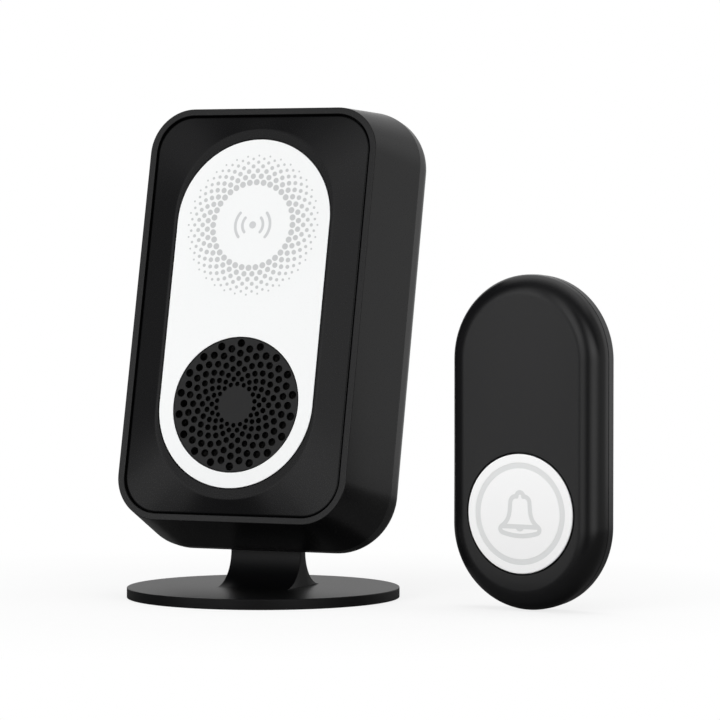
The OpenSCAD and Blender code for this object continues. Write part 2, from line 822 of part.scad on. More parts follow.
// Cells side by side, each the other way up from the next
module battery_cells() {
    foot = contact_t + spring_l;
    color("#3f6f9c") in_receiver() for (k = [0:cell_count - 1]) at_cell(k) {
        rod(cell_d / 2, foot, foot + cell_l - nub_t);
        rod(nub_r, foot + cell_l - nub_t, foot + cell_l);
    }
}

// Plated contact strips against both ends of the bay
module battery_contacts() {
    color("#c9c9c4") in_receiver() for (k = [0:cell_count - 1]) at_cell(k) {
        block(cell_d * 0.8, cell_d * 0.8, 0, contact_t);
        block(cell_d * 0.8, cell_d * 0.8, bay_h - contact_t, bay_h);
    }
}

// A point on the wire of a conical coil: t turns from the wide foot, at angle a round the wire
function coil_r(t) = cell_d * (0.36 - 0.16 * t / spring_turns);
function coil_z(t) = contact_t + spring_wire * 0.6 + (spring_l - spring_wire * 1.2) * t / spring_turns;
function coil_point(t, a) =
    let (r = coil_r(t) + spring_wire / 2 * cos(a))
    [r * cos(360 * t), r * sin(360 * t), coil_z(t) + spring_wire / 2 * sin(a)];

// Conical coil springs that press the cells on to the far contacts
module battery_springs() {
    sides = 6;
    rings = 8 * spring_turns;
    points = [for (j = [0:rings]) for (s = [0:sides - 1]) coil_point(j / 8, -360 * s / sides)];
    first_cap = [for (s = [sides - 1:-1:0]) s];
    last_cap = [for (s = [0:sides - 1]) rings * sides + s];
    lower_tris = [for (j = [0:rings - 1]) for (s = [0:sides - 1])
                  [j * sides + s, j * sides + (s + 1) % sides, (j + 1) * sides + (s + 1) % sides]];
    upper_tris = [for (j = [0:rings - 1]) for (s = [0:sides - 1])
                  [j * sides + s, (j + 1) * sides + (s + 1) % sides, (j + 1) * sides + s]];
    color("#b9bbbd") in_receiver() for (k = [0:cell_count - 1]) at_cell(k)
        polyhedron(points, concat([first_cap, last_cap], lower_tris, upper_tris));
}

// Gap between neighbouring curls of a battery spring, measured on the wire's middle line
spring_gap = min([for (j = [0:8 * (spring_turns - 1)]) let (t = j / 8)
                  norm([coil_r(t + 1) - coil_r(t), coil_z(t + 1) - coil_z(t)])]) - spring_wire;
echo(spring_gap = spring_gap);

// Battery cover: flush plate on the bay's walls, with a thumb hollow at its upper end
module battery_cover() {
    cover_w = bay_w + 2 * (cover_rest - seam);
    cover_h = bay_h + 2 * (cover_rest - seam);
    thumb_r = 9;
    thumb_deep = 0.9;
    color("#1e1e1f") in_receiver() translate([0, bay_y, 0]) difference() {
        prism(round_rect(cover_w, cover_h, cover_r - seam), back_z, back_in_z);
        translate([0, cover_h / 2 - 7, back_z - thumb_r * 2 + thumb_deep])
            rotate([0, 90, 0])
                translate([0, 0, -6])
                    cylinder(r = thumb_r * 2, h = 12);
    }
}

// Front shell of the button unit, with posts for the back plate's screws and pillars for the board
module remote_shell() {
    steps = 6;
    bow = [for (i = [0:steps]) 90 * i / steps];
    in_edge = remote_edge - remote_wall;
    color("#1e1e1f") in_remote() difference() {
        union() {
            difference() {
                loft(concat([oblong(0)], [for (a = bow) oblong(-remote_edge * (1 - cos(a)))]),
                     concat([parting_z], [for (a = bow) -remote_edge * (1 - sin(a))]));
                loft(concat([oblong(-remote_wall)],
                            [for (a = bow) oblong(-remote_wall - in_edge * (1 - cos(a)))]),
                     concat([parting_z - over], [for (a = bow) -remote_wall - in_edge * (1 - sin(a))]));
            }
            for (sx = [-1, 1]) {
                rod(remote_post_r, plate_z, -remote_wall / 2, sx * remote_post_x, remote_post_y);
                for (sy = [-1, 1])
                    rod(pillar_r, remote_board_z, -remote_wall / 2, sx * pillar_x, sy * pillar_y);
            }
        }
        rod(button_d / 2 + button_gap, -remote_wall - over, over, 0, -button_low);
        for (sx = [-1, 1])
            rod(back_screw_r + 0.05, plate_z - over, -remote_wall - 0.6, sx * remote_post_x, remote_post_y);
    }
}

// Back plate: a shallow tray that closes the shell, with a lip inside it and pillars under the board
module back_plate() {
    color("#303031") in_remote() difference() {
        union() {
            difference() {
                union() {
                    loft([oblong(-plate_edge), oblong(-plate_edge * 0.3), oblong(0), oblong(0)],
                         [remote_back_z, remote_back_z + plate_edge * 0.3, remote_back_z + plate_edge, parting_z]);
                    prism(oblong(-remote_wall - seam), plate_z, parting_z + plate_lip_h);
                }
                prism(oblong(-remote_wall - seam - plate_lip_t), plate_z, parting_z + plate_lip_h + over);
            }
            for (sx = [-1, 1], sy = [-1, 1])
                rod(pillar_r, plate_z - plate_t / 2, remote_board_z - remote_board_t,
                    sx * pillar_x, sy * pillar_y);
        }
        rod(coin_d / 2 + 0.4, coin_z - coin_t - 0.15, parting_z + over, 0, coin_y);
        for (sy = [-1, 1])
            rod(wall_hole_d / 2, remote_back_z - over, plate_z + over, 0, sy * wall_hole_pitch / 2);
        for (sx = [-1, 1]) {
            rod(back_screw_r + 0.1, remote_back_z - over, plate_z + over, sx * remote_post_x, remote_post_y);
            rod(back_head_r + seam, remote_back_z - over, back_head_z, sx * remote_post_x, remote_post_y);
        }
    }
}

// Two screws that hold the back plate to the shell's posts
module back_screws() {
    color("#8d8d8d") in_remote() for (sx = [-1, 1])
        screw_up(back_screw_r, back_screw_l, back_head_r, back_head_t, back_head_z,
                 sx * remote_post_x, remote_post_y);
}

// Push button: disc with a sunk ring, a skirt and a flange that stops it behind the shell
module call_button() {
    r = button_d / 2;
    color("#f6f6f6") in_remote() translate([0, -button_low, 0]) difference() {
        union() {
            rod(r, cap_back_z, button_proud);
            ring(r - skirt_t, r, button_flange_z - button_flange_t, cap_back_z + 0.1);
            ring(r - skirt_t, button_flange_r, button_flange_z - button_flange_t, button_flange_z);
            rod(plunger_r + 0.9, nub_z, cap_back_z + 0.1);
        }
        ring(ring_in_r, ring_out_r, button_proud - ring_deep, button_proud + over);
    }
}

// Stem of the push switch, pressed by the button's nub
module switch_plunger() {
    color("#d9c9a0") in_remote()
        rod(plunger_r, switch_z - 0.7, nub_z, 0, -button_low);
}

// Silicone ring under the button's flange, which returns the button and keeps out water
module button_pad() {
    color("#d7d9da") in_remote()
        ring(button_d / 2 - skirt_t, button_flange_r - 0.4, remote_board_z,
             button_flange_z - button_flange_t, 0, -button_low);
}

// Push switch on the button unit's board, with the bore for its stem
module call_switch() {
    color("#2f3032") in_remote() difference() {
        block(switch_w, switch_w, remote_board_z, switch_z, 0, -button_low);
        rod(plunger_r + plunger_gap, switch_z - 0.7 - button_travel - 0.15, switch_z + over, 0, -button_low);
    }
}

// Oblong board of the button unit, cut clear of the shell's screw posts
module remote_board() {
    color("#1f6b3a") in_remote() difference() {
        prism(oblong(-remote_wall - remote_edge_gap), remote_board_z - remote_board_t, remote_board_z);
        for (sx = [-1, 1])
            rod(remote_post_r + 0.3, remote_board_z - remote_board_t - over, remote_board_z + over,
                sx * remote_post_x, remote_post_y);
    }
}

// Radio chip on the back of the board, between the switch and the coin cell
module remote_chip() {
    z = remote_board_z - remote_board_t;
    color("#26272a") in_remote()
        block(remote_chip_size[0], remote_chip_size[1], z - remote_chip_size[2], z, 0, remote_chip_y);
}

// Small light under the button's sunk ring
module status_led() {
    color("#f2efe2") in_remote()
        block(1.6, 3.2, remote_board_z, remote_board_z + 0.7, 9, -button_low);
}

// Coin cell behind the board
module coin_cell() {
    color("#c4c6c8") in_remote() {
        rod(coin_d / 2, coin_z - coin_t, coin_z - 0.4, 0, coin_y);
        rod(coin_d / 2 - 1.4, coin_z - 0.4, coin_z, 0, coin_y);
    }
}

// Moulded collar around the coin cell, open on one side for the contact
module cell_holder() {
    r = coin_d / 2 + holder_gap;
    z = remote_board_z - remote_board_t;
    color("#29292b") in_remote() difference() {
        ring(r, r + holder_t, z - holder_h, z, 0, coin_y);
        block(12, 8, z - holder_h - over, z + over, 0, coin_y + r);
    }
}

// Sprung contact: a tab under the coin cell and a strap against its edge
module cell_contact() {
    r = coin_d / 2 + holder_gap;
    z = remote_board_z - remote_board_t;
    color("#cfcfc8") in_remote() {
        rod(coin_d / 4, coin_z, z, 0, coin_y);
        block(9, 0.4, z - holder_h, z, 0, coin_y + r);
    }
}

stand();
base_weight();
foot_pad();
stand_screw();
housing();
fascia();
face_panel();
speaker_grille();
speaker_gasket();
speaker_basket();
speaker_cone();
speaker_magnet();
speaker_screws();
light_diffuser();
indicator_leds();
main_board();
board_chips();
board_screws();
rear_cover();
case_screws();
key_board();
key_switches();
key_board_screws();
volume_key();
melody_key();
battery_cells();
battery_contacts();
battery_springs();
battery_cover();
remote_shell();
back_plate();
back_screws();
call_button();
switch_plunger();
button_pad();
call_switch();
remote_board();
remote_chip();
status_led();
coin_cell();
cell_holder();
cell_contact();
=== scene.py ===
import bpy
import numpy as np
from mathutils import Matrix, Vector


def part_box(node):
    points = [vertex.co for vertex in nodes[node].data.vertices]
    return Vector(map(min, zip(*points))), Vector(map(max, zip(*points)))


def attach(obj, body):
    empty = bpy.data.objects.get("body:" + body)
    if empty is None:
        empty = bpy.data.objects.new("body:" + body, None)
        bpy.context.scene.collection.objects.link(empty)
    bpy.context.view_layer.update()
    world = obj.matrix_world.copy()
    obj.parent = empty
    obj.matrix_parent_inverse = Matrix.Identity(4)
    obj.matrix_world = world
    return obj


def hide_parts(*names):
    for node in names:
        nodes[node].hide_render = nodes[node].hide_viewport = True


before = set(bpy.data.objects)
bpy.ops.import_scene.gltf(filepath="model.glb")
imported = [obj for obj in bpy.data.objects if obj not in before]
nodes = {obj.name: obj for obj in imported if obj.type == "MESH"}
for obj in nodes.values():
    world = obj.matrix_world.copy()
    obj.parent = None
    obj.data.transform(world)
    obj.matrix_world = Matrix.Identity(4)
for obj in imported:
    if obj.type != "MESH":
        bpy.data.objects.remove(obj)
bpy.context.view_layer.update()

# Housing
# The receiver's flared sleeve, one moulding in black ABS with a fine spark-eroded grain.
# Its flat rim frames the fascia, and its back edge meets the rear cover in a parting line.
mm = 0.001
lean = np.radians(12.8)
face_w, face_h, face_r = 64 * mm, 108 * mm, 11.6 * mm
flare, flare_depth, wall = 3.8 * mm, 20.4 * mm, 2 * mm
rim_w, rim_bevel, groove = 1.7 * mm, 0.12 * mm, 0.35 * mm
ledge_w, ledge_t, seat_depth = 3 * mm, 1.6 * mm, 5 * mm
parting_bend, rim_bend, bevel_bend = 0.12 * mm, 0.2 * mm, 0.03 * mm
plateau_rise, panel_t = 1.2 * mm, 1.6 * mm
panel_middle = np.mean(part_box("face_panel"), axis=0)
panel_middle_z = plateau_rise - panel_t / 2
crease = np.radians(38)


def in_receiver(points):
    """Stands face-up points on the neck: x stays, and y and z turn by the lean about the face's middle."""
    x, y, z = np.moveaxis(points, -1, 0)
    z = z - panel_middle_z
    turned = np.stack([x, y * np.sin(lean) - z * np.cos(lean), y * np.cos(lean) + z * np.sin(lean)], -1)
    return turned + panel_middle


def round_path(w, h, r, turn=24, run=24):
    """Outline of a rectangle with round corners and its outward normals: each corner's centre plus the radius
    along a normal that turns by 90 degrees, and the straight run to the next, which a round end lacks."""
    corners = np.array([[1, 1], [-1, 1], [-1, -1], [1, -1]]) * [w / 2 - r, h / 2 - r]
    quarter = np.linspace(0, np.pi / 2, turn)
    steps = np.linspace(0, 1, run + 2)[1:-1, None]
    points, normals = [], []
    for k, corner in enumerate(corners):
        angle = quarter + k * np.pi / 2
        out = np.stack([np.cos(angle), np.sin(angle)], -1)
        to_next = corners[(k + 1) % 4] - corner
        ahead = corner + to_next * steps
        straight = np.linalg.norm(to_next) > 0.001 * mm
        points += [corner + r * out, ahead + r * out[-1]] if straight else [corner + r * out[:-1]]
        normals += [out, np.broadcast_to(out[-1], ahead.shape)] if straight else [out[:-1]]
    return np.concatenate(points), np.concatenate(normals)


def at_height(flat, z):
    """A flat ring of points at height z."""
    return np.concatenate([flat, np.full((len(flat), 1), z)], -1)


def carried(path, profile):
    """Rings of a profile carried round a path: the path moved out along its normals by each offset, at each
    height."""
    points, normals = path
    return np.array([at_height(points + offset * normals, z) for offset, z in profile])


def unit(v):
    """Vectors at length 1."""
    return v / np.maximum(np.linalg.norm(v, axis=-1, keepdims=True), 1e-12)


def softened(rings, bends, closed=False, steps=5, lead=0.15):
    """Rounds each ring's corner with a parabola that starts and ends one bend away from it:
    (1 - s)^2 A + 2 s (1 - s) B + s^2 C, with B the corner. One more ring, a lead of the bend further out,
    keeps the slopes straight."""
    if closed:
        rings = np.concatenate([rings[-1:], rings, rings[:1]])
    rows = [] if closed else [rings[:1]]
    s = np.linspace(0, 1, steps)[:, None, None]
    for before, corner, after, bend in zip(rings, rings[1:], rings[2:], bends):
        if bend:
            back, on = unit(before - corner), unit(after - corner)
            a, c = corner + bend * back, corner + bend * on
            curve = (1 - s) ** 2 * a + 2 * s * (1 - s) * corner + s ** 2 * c
            rows += [(a + lead * bend * back)[None], curve, (c + lead * bend * on)[None]]
        else:
            rows.append(corner[None])
    return np.concatenate(rows if closed else rows + [rings[-1:]])


def skin(name, rings, closed=False):
    """A mesh of quads through rings of equal count. A closed skin joins its last ring to its first, like a
    tyre, and an open one gets a flat cap on each end ring."""
    m, n = rings.shape[:2]
    k = np.arange(m * n).reshape(m, n)
    if closed:
        k = np.concatenate([k, k[:1]])
    around = np.roll(k, -1, 1)
    faces = np.stack([k[:-1], around[:-1], around[1:], k[1:]], -1).reshape(-1, 4).tolist()
    if not closed:
        faces += [k[0, ::-1].tolist(), k[-1].tolist()]
    mesh = bpy.data.meshes.new(name)
    mesh.from_pydata(rings.reshape(-1, 3).tolist(), [], faces)
    return finished(name, mesh)


def finished(name, mesh):
    """An object for a mesh, with smooth shading, sharp edges past the crease angle and faces turned outwards:
    its volume, a share of the sum of (A x B) . C over its triangles, is positive."""
    corners = np.zeros(len(mesh.vertices) * 3)
    mesh.vertices.foreach_get("co", corners)
    mesh.calc_loop_triangles()
    tris = np.zeros(len(mesh.loop_triangles) * 3, int)
    mesh.loop_triangles.foreach_get("vertices", tris)
    a, b, c = np.moveaxis(corners.reshape(-1, 3)[tris.reshape(-1, 3)], 1, 0)
    if np.sum(np.cross(a, b) * c) < 0:
        mesh.flip_normals()
    mesh.shade_smooth()
    mesh.set_sharp_from_angle(angle=crease)
    obj = bpy.data.objects.new(name, mesh)
    bpy.context.collection.objects.link(obj)
    return obj


def linear(code):
    """Linear colour of an sRGB hex code."""
    s = np.array([int(code[i:i + 2], 16) for i in (1, 3, 5)]) / 255
    return (*np.where(s <= 0.04045, s / 12.92, ((s + 0.055) / 1.055) ** 2.4), 1.0)


def blank(owner):
    """The emptied node tree of a new material or world."""
    owner.use_nodes = True
    owner.node_tree.nodes.clear()
    return owner.node_tree


def add(tree, kind, inputs, **settings):
    """Adds a node: settings are its properties, and inputs its sockets' values or the sockets linked to
    them."""
    node = tree.nodes.new(kind)
    for name, value in settings.items():
        setattr(node, name, value)
    for name, value in inputs.items():
        if isinstance(value, bpy.types.NodeSocket):
            tree.links.new(value, node.inputs[name])
        else:
            node.inputs[name].default_value = value
    return node


def moulded(name, dark, light, roughness, ior=1.5, flow=18 * mm, grain=0.3 * mm, depth=0.002 * mm, **extra):
    """A moulded plastic: its tone drifts between two near colours along the flow of the melt, and the mould's
    grain breaks up the gloss and dents the surface by its depth. Real grain is finer, and wouldn't show."""
    material = bpy.data.materials.new(name)
    tree = blank(material)
    place = add(tree, "ShaderNodeTexCoord", {}).outputs["Object"]
    melt = add(tree, "ShaderNodeTexNoise", {"Vector": place, "Scale": 1 / flow, "Detail": 2.0})
    tone = add(tree, "ShaderNodeMix", {0: melt.outputs["Fac"], 6: linear(dark), 7: linear(light)},
               data_type="RGBA")
    pits = add(tree, "ShaderNodeTexNoise", {"Vector": place, "Scale": 1 / grain, "Detail": 2.0})
    gloss = add(tree, "ShaderNodeMapRange", {"Value": pits.outputs["Fac"], "From Min": 0.3, "From Max": 0.7,
                                             "To Min": roughness - 0.03, "To Max": roughness + 0.03})
    dents = add(tree, "ShaderNodeBump", {"Height": pits.outputs["Fac"], "Distance": depth})
    shader = add(tree, "ShaderNodeBsdfPrincipled",
                 {"Base Color": tone.outputs[2], "Roughness": gloss.outputs["Result"], "IOR": ior,
                  "Normal": dents.outputs["Normal"], **extra})
    add(tree, "ShaderNodeOutputMaterial", {"Surface": shader.outputs["BSDF"]})
    return material


def place_piece(obj, material, body, slot, *replaced):
    """Finishes a new piece: its material, the body it rides on and the CAD nodes it stands for. Its slot is
    not used.
    """
    obj.data.materials.append(material)
    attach(obj, body)
    if replaced:
        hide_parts(*replaced)


# Black ABS: a deep neutral tone, with a satin sheen from the grain.
housing_black = moulded("moulded_abs_black", "#0d0d0e", "#101011", 0.3)
seat_offset = -rim_w
ledge_offset = -(rim_w + groove + ledge_w)
ledge_back = -(seat_depth + ledge_t)
housing_path = round_path(face_w, face_h, face_r)
housing_profile = [(flare, -flare_depth), (0, 0), (seat_offset + rim_bevel, 0), (seat_offset, -rim_bevel),
                   (seat_offset, -seat_depth), (ledge_offset, -seat_depth), (ledge_offset, ledge_back),
                   (-flare * ledge_back / flare_depth - wall, ledge_back), (flare - wall, -flare_depth)]
housing_bends = [parting_bend, rim_bend, bevel_bend, bevel_bend, 0, 0, 0, 0, 0]
housing_rings = softened(carried(housing_path, housing_profile), housing_bends, closed=True)
housing = skin("housing_sleeve", in_receiver(housing_rings), closed=True)
place_piece(housing, housing_black, "receiver", "housing_black", "housing")

# Rear cover
# The back of the case, moulded in the same black ABS: a straight band, a full rounding and a flat back.
# Screw wells, key bores and the battery bay open in it, and four screws draw it on to the housing.
band, back_round, flat_in = 2.8 * mm, 6.8 * mm, 0.4 * mm
round_z = -(flare_depth + band)
back_z = round_z - back_round
back_in_z = back_z + wall
in_round = back_round - wall
bow = np.linspace(0, np.pi / 2, 16)
outer_bow = np.stack([flare - back_round * (1 - np.cos(bow)), round_z - back_round * np.sin(bow)], -1)
inner_bow = np.stack([flare - wall - in_round * (1 - np.cos(bow)), round_z - in_round * np.sin(bow)], -1)
cover_profile = [*inner_bow[::-1], (flare - wall, -flare_depth), (flare, -flare_depth), *outer_bow,
                 (flare - back_round - flat_in, back_z)]
cover_bends = np.zeros(len(cover_profile) - 2)
cover_bends[len(inner_bow)] = parting_bend
rear_rings = softened(carried(housing_path, cover_profile), cover_bends)
cell_d, cell_l, cell_count, cell_gap, cell_clear = 10.5 * mm, 44.5 * mm, 3, 0.5 * mm, 0.35 * mm
bay_top, bay_side, spring_l, contact_t = 9.75 * mm, 0.6 * mm, 5.6 * mm, 0.4 * mm
bay_w = cell_count * (cell_d + cell_gap) + bay_side
bay_h = cell_l + spring_l + 2 * contact_t
bay_y = face_h / 2 - bay_top - bay_h / 2
bay_wall, cover_rest, cover_r, seam = 1.2 * mm, 1.4 * mm, 2 * mm, 0.15 * mm
bay_floor_z = back_in_z + cell_clear + cell_d + seam
tray_lip_w, tray_lip_t, tray_bend = 0.5 * mm, 0.8 * mm, 0.15 * mm
key_d, key_pitch, key_low = 7 * mm, 18 * mm, 22 * mm
post_in, post_short, post_r = 8.5 * mm, 3 * mm, 3.2 * mm
post_x, post_y = face_w / 2 - post_in, face_h / 2 - post_in
well_r, well_sunk, well_floor_t = 2.6 * mm, 0.5 * mm, 0.8 * mm
well_floor_z = -(flare_depth - post_short) - wall
tongue_foot, tongue_l, screw_down = 0.9 * mm, 14 * mm, 5.5 * mm
stand_screw_y = -(face_h / 2 + flare) + tongue_foot + tongue_l - screw_down
stand_head_r, stand_head_t = 2.8 * mm, 1.2 * mm


def circle_path(r, x=0.0, y=0.0, count=48):
    """A circle about (x, y) and its outward normals."""
    a = np.arange(count) * 2 * np.pi / count
    out = np.stack([np.cos(a), np.sin(a)], -1)
    return np.array([x, y]) + r * out, out


def shifted(path, x, y):
    """A path moved to (x, y)."""
    points, normals = path
    return points + [x, y], normals


def cut(obj, *cutters):
    """Takes closed cutters out of a piece for good, and shades it again."""
    for cutter in cutters:
        modifier = obj.modifiers.new("cut", "BOOLEAN")
        modifier.operation = "DIFFERENCE"
        modifier.solver = "EXACT"
        modifier.object = cutter
    mesh = bpy.data.meshes.new_from_object(obj.evaluated_get(bpy.context.evaluated_depsgraph_get()))
    obj.modifiers.clear()
    obj.data = mesh
    mesh.set_sharp_from_angle(angle=crease)
    for cutter in cutters:
        bpy.data.objects.remove(cutter)


def drilled(r, z0, z1, x, y, stand=in_receiver):
    """A round cutter from z0 to z1 at (x, y)."""
    return skin("cutter", stand(carried(circle_path(r, x, y), [(0, z0), (0, z1)])))


def joined(obj, *others):
    """Adds other meshes to a piece as solids of the same moulding."""
    with bpy.context.temp_override(active_object=obj, selected_editable_objects=[obj, *others]):
        bpy.ops.object.join()


over = 1 * mm
through = (back_z - over, back_in_z + over)
posts = [(sx * post_x, sy * post_y) for sx in (-1, 1) for sy in (-1, 1)]
bay_path = shifted(round_path(bay_w + 2 * cover_rest, bay_h + 2 * cover_rest, cover_r, 10, 2), 0, bay_y)
rear = skin("rear_case", in_receiver(rear_rings))
cut(rear, skin("cutter", in_receiver(carried(bay_path, [(0, z) for z in through]))),
    *[drilled(key_d / 2 + seam, *through, side * key_pitch / 2, -key_low) for side in (-1, 1)],
    *[drilled(well_r, *through, *post) for post in posts],
    drilled(stand_head_r, back_z - over, back_z + stand_head_t, 0, stand_screw_y))
tray_profile = [(-cover_rest, bay_floor_z), (-cover_rest, back_in_z), (tray_lip_w, back_in_z),
                (tray_lip_w, back_in_z + tray_lip_t), (bay_wall - cover_rest, back_in_z + tray_lip_t),
                (bay_wall - cover_rest, bay_floor_z + bay_wall)]
well_profile = [(0, well_floor_z), (0, back_in_z - well_sunk), (post_r - well_r, back_in_z - well_sunk),
                (post_r - well_r, well_floor_z + well_floor_t)]
tray = skin("bay_tray", in_receiver(softened(carried(bay_path, tray_profile), [tray_bend, 0, 0, 0])))
wells = [skin("screw_well", in_receiver(carried(circle_path(well_r, *post), well_profile))) for post in posts]
joined(rear, tray, *wells)
place_piece(rear, housing_black, "receiver", "housing_black", "rear_cover")

# Fascia
# The convex front, a satin black ABS moulding dropped into the rim. Straight rulings rise from the groove
# to a flat oblong plateau, whose pocket takes the white panel.
fascia_drop, border_side, border_end = 0.5 * mm, 0.75 * mm, 2.75 * mm
skirt, web_t, shelf_in = 1.8 * mm, 1.2 * mm, 2 * mm
panel_w, panel_end = 43.3 * mm, 8.45 * mm
panel_h = face_h - 2 * panel_end
fascia_offset = -(rim_w + groove)
edge_z, web_z = -fascia_drop, plateau_rise - panel_t


def onto_oblong(p, w, h):
    """The points of an oblong with round ends straight in from p: half its width away from its middle
    line."""
    reach = (h - w) / 2
    middle = np.stack([0 * p[:, 0], np.clip(p[:, 1], -reach, reach)], -1)
    return middle + w / 2 * unit(p - middle)


fascia_w, fascia_h = face_w + 2 * fascia_offset, face_h + 2 * fascia_offset
fascia_path = round_path(fascia_w, fascia_h, face_r + fascia_offset, 24, 40)
edge = fascia_path[0]
plateau = onto_oblong(edge, panel_w + 2 * border_side, panel_h + 2 * border_end)
pocket = onto_oblong(edge, panel_w + 2 * seam, panel_h + 2 * seam)
shelf = onto_oblong(edge, panel_w - 2 * shelf_in, panel_h - 2 * shelf_in)
inside = edge - skirt * fascia_path[1]
fascia_rings = np.array([at_height(edge, -seat_depth), at_height(edge, edge_z),
                         at_height(plateau, plateau_rise), at_height(pocket, plateau_rise),
                         at_height(pocket, web_z), at_height(shelf, web_z), at_height(shelf, web_z - web_t),
                         at_height(inside, edge_z - wall), at_height(inside, -seat_depth)])
fascia_bends = np.array([0, 0.45, 0.35, 0.1, 0, 0, 0, 0, 0]) * mm
fascia = skin("fascia_front", in_receiver(softened(fascia_rings, fascia_bends, closed=True)), closed=True)
# Satin ABS: smoother than the housing, so that each slope shows a clear, dim sheen.
fascia_black = moulded("satin_abs_black", "#0c0c0d", "#0f0f10", 0.26, **{"Specular IOR Level": 0.33})
place_piece(fascia, fascia_black, "receiver", "fascia_black", "fascia")

# Face panel
# A white acrylic oblong, laser cut and laid flush in the fascia's pocket with a fine joint round it,
# where painted shade turns its edge black.
# Its round opening takes the speaker's grille.
end_y = (panel_h - panel_w) / 2
grille_d, joint = 34.6 * mm, 0.12 * mm
panel_shade_depth = 0.2 * mm
panel_path = round_path(panel_w - 2 * joint, panel_h - 2 * joint, panel_w / 2 - joint, 64, 32)
speaker_middle = np.array([0, -end_y])
opening = speaker_middle + (grille_d / 2 + seam + joint) * unit(panel_path[0] - speaker_middle)
panel_rings = np.array([at_height(opening, web_z), at_height(opening, plateau_rise),
                        at_height(panel_path[0], plateau_rise), at_height(panel_path[0], web_z)])
panel_bends = np.array([0, 0.1, 0.12, 0]) * mm
panel = skin("panel_face", in_receiver(softened(panel_rings, panel_bends, closed=True)), closed=True)


def painted_joint_shade(material, point, normal, depth, black="#020202"):
    """Painted shade: lets a piece's colour fall to black below its face, where shade falls down in the joint
    round it: by the height over the face, (place - point) . normal, from a third of the depth down to all of
    it."""
    tree = material.node_tree
    shader = next(node for node in tree.nodes if node.bl_idname == "ShaderNodeBsdfPrincipled")
    colour = shader.inputs["Base Color"]
    place = add(tree, "ShaderNodeTexCoord", {}).outputs["Object"]
    offset = add(tree, "ShaderNodeVectorMath", {0: place, 1: tuple(point)}, operation="SUBTRACT")
    height = add(tree, "ShaderNodeVectorMath", {0: offset.outputs["Vector"], 1: tuple(normal)},
                 operation="DOT_PRODUCT")
    share = add(tree, "ShaderNodeMapRange", {"Value": height.outputs["Value"], "From Min": -depth,
                                             "From Max": -depth / 3})
    tone = add(tree, "ShaderNodeMix", {0: share.outputs["Result"], 6: linear(black),
                                       7: colour.links[0].from_socket}, data_type="RGBA")
    tree.links.new(tone.outputs[2], colour)


# Cast acrylic: an even, clean white with a soft gloss and hardly any grain.
panel_white = moulded("acrylic_white", "#e8e9e9", "#ebecec", 0.3, ior=1.49, flow=30 * mm, depth=0.0005 * mm)
face_out = np.array([0, -np.cos(lean), np.sin(lean)])
# Painted shade: the panel's edge turns black below its face, down in the joint.
painted_joint_shade(panel_white, panel_middle + panel_t / 2 * face_out, face_out, panel_shade_depth)
place_piece(panel, panel_white, "receiver", "panel_white", "face_panel")

# Light dots
# Rings of fine frosted dots in the panel, which let the call light through and look grey when it is off.
# They shrink and draw closer together outwards, and each ring is turned by half a step from the next.
light_y = end_y - 1 * mm
dot_rings, dots_round, dot_sides = 7, 36, 16
first_dot_r, first_gap, gap_ratio = 11.25 * mm, 1.61 * mm, 0.87
first_dot_d, last_dot_d = 1.63 * mm, 0.53 * mm
print_proud, print_sunk = 0.02 * mm, 0.05 * mm


def many_plates(name, rims, z, stand):
    """Thin plates proud of a face at height z, from rims of equal count: a side wall and two flat ends
    each."""
    count, n = rims.shape[:2]
    low = np.concatenate([rims, np.full((count, n, 1), z - print_sunk)], -1)
    high = np.concatenate([rims, np.full((count, n, 1), z + print_proud)], -1)
    k = np.arange(count * 2 * n).reshape(count, 2, n)
    around = np.roll(k, -1, 2)
    sides = np.stack([k[:, 0], around[:, 0], around[:, 1], k[:, 1]], -1).reshape(-1, 4)
    points = stand(np.stack([low, high], 1).reshape(-1, 3))
    mesh = bpy.data.meshes.new(name)
    mesh.from_pydata(points.tolist(), [], sides.tolist() + k[:, 1].tolist() + k[:, 0, ::-1].tolist())
    return finished(name, mesh)


ring_no, dot_no = np.meshgrid(np.arange(dot_rings), np.arange(dots_round), indexing="ij")
dot_r = first_dot_r + first_gap * (1 - gap_ratio ** ring_no) / (1 - gap_ratio)
dot_a = (dot_no + ring_no % 2 / 2) * 2 * np.pi / dots_round + np.pi / 2
dot_middle = np.stack([dot_r * np.cos(dot_a), light_y + dot_r * np.sin(dot_a)], -1).reshape(-1, 1, 2)
dot_size = (first_dot_d + (last_dot_d - first_dot_d) * ring_no / (dot_rings - 1)).reshape(-1, 1, 1)
dot_rims = dot_middle + dot_size * circle_path(0.5, count=dot_sides)[0]
dots = many_plates("light_dots", dot_rims, plateau_rise, in_receiver)
# Frosted acrylic: a dull, pale grey that takes no highlight.
dot_grey = moulded("frosted_acrylic_grey", "#bdbebf", "#c2c3c4", 0.5, ior=1.49, flow=10 * mm)
place_piece(dots, dot_grey, "receiver", "panel_white")

# Call sign
# A generic call pictogram, a dot between two pairs of wave arcs, in the middle of the dots.
# It is pad printed on the panel in one thin coat of grey ink.
sign_line, sign_dot_r, arc_half = 0.75 * mm, 0.95 * mm, np.radians(40)
arc_radii = (2.9 * mm, 4.9 * mm)


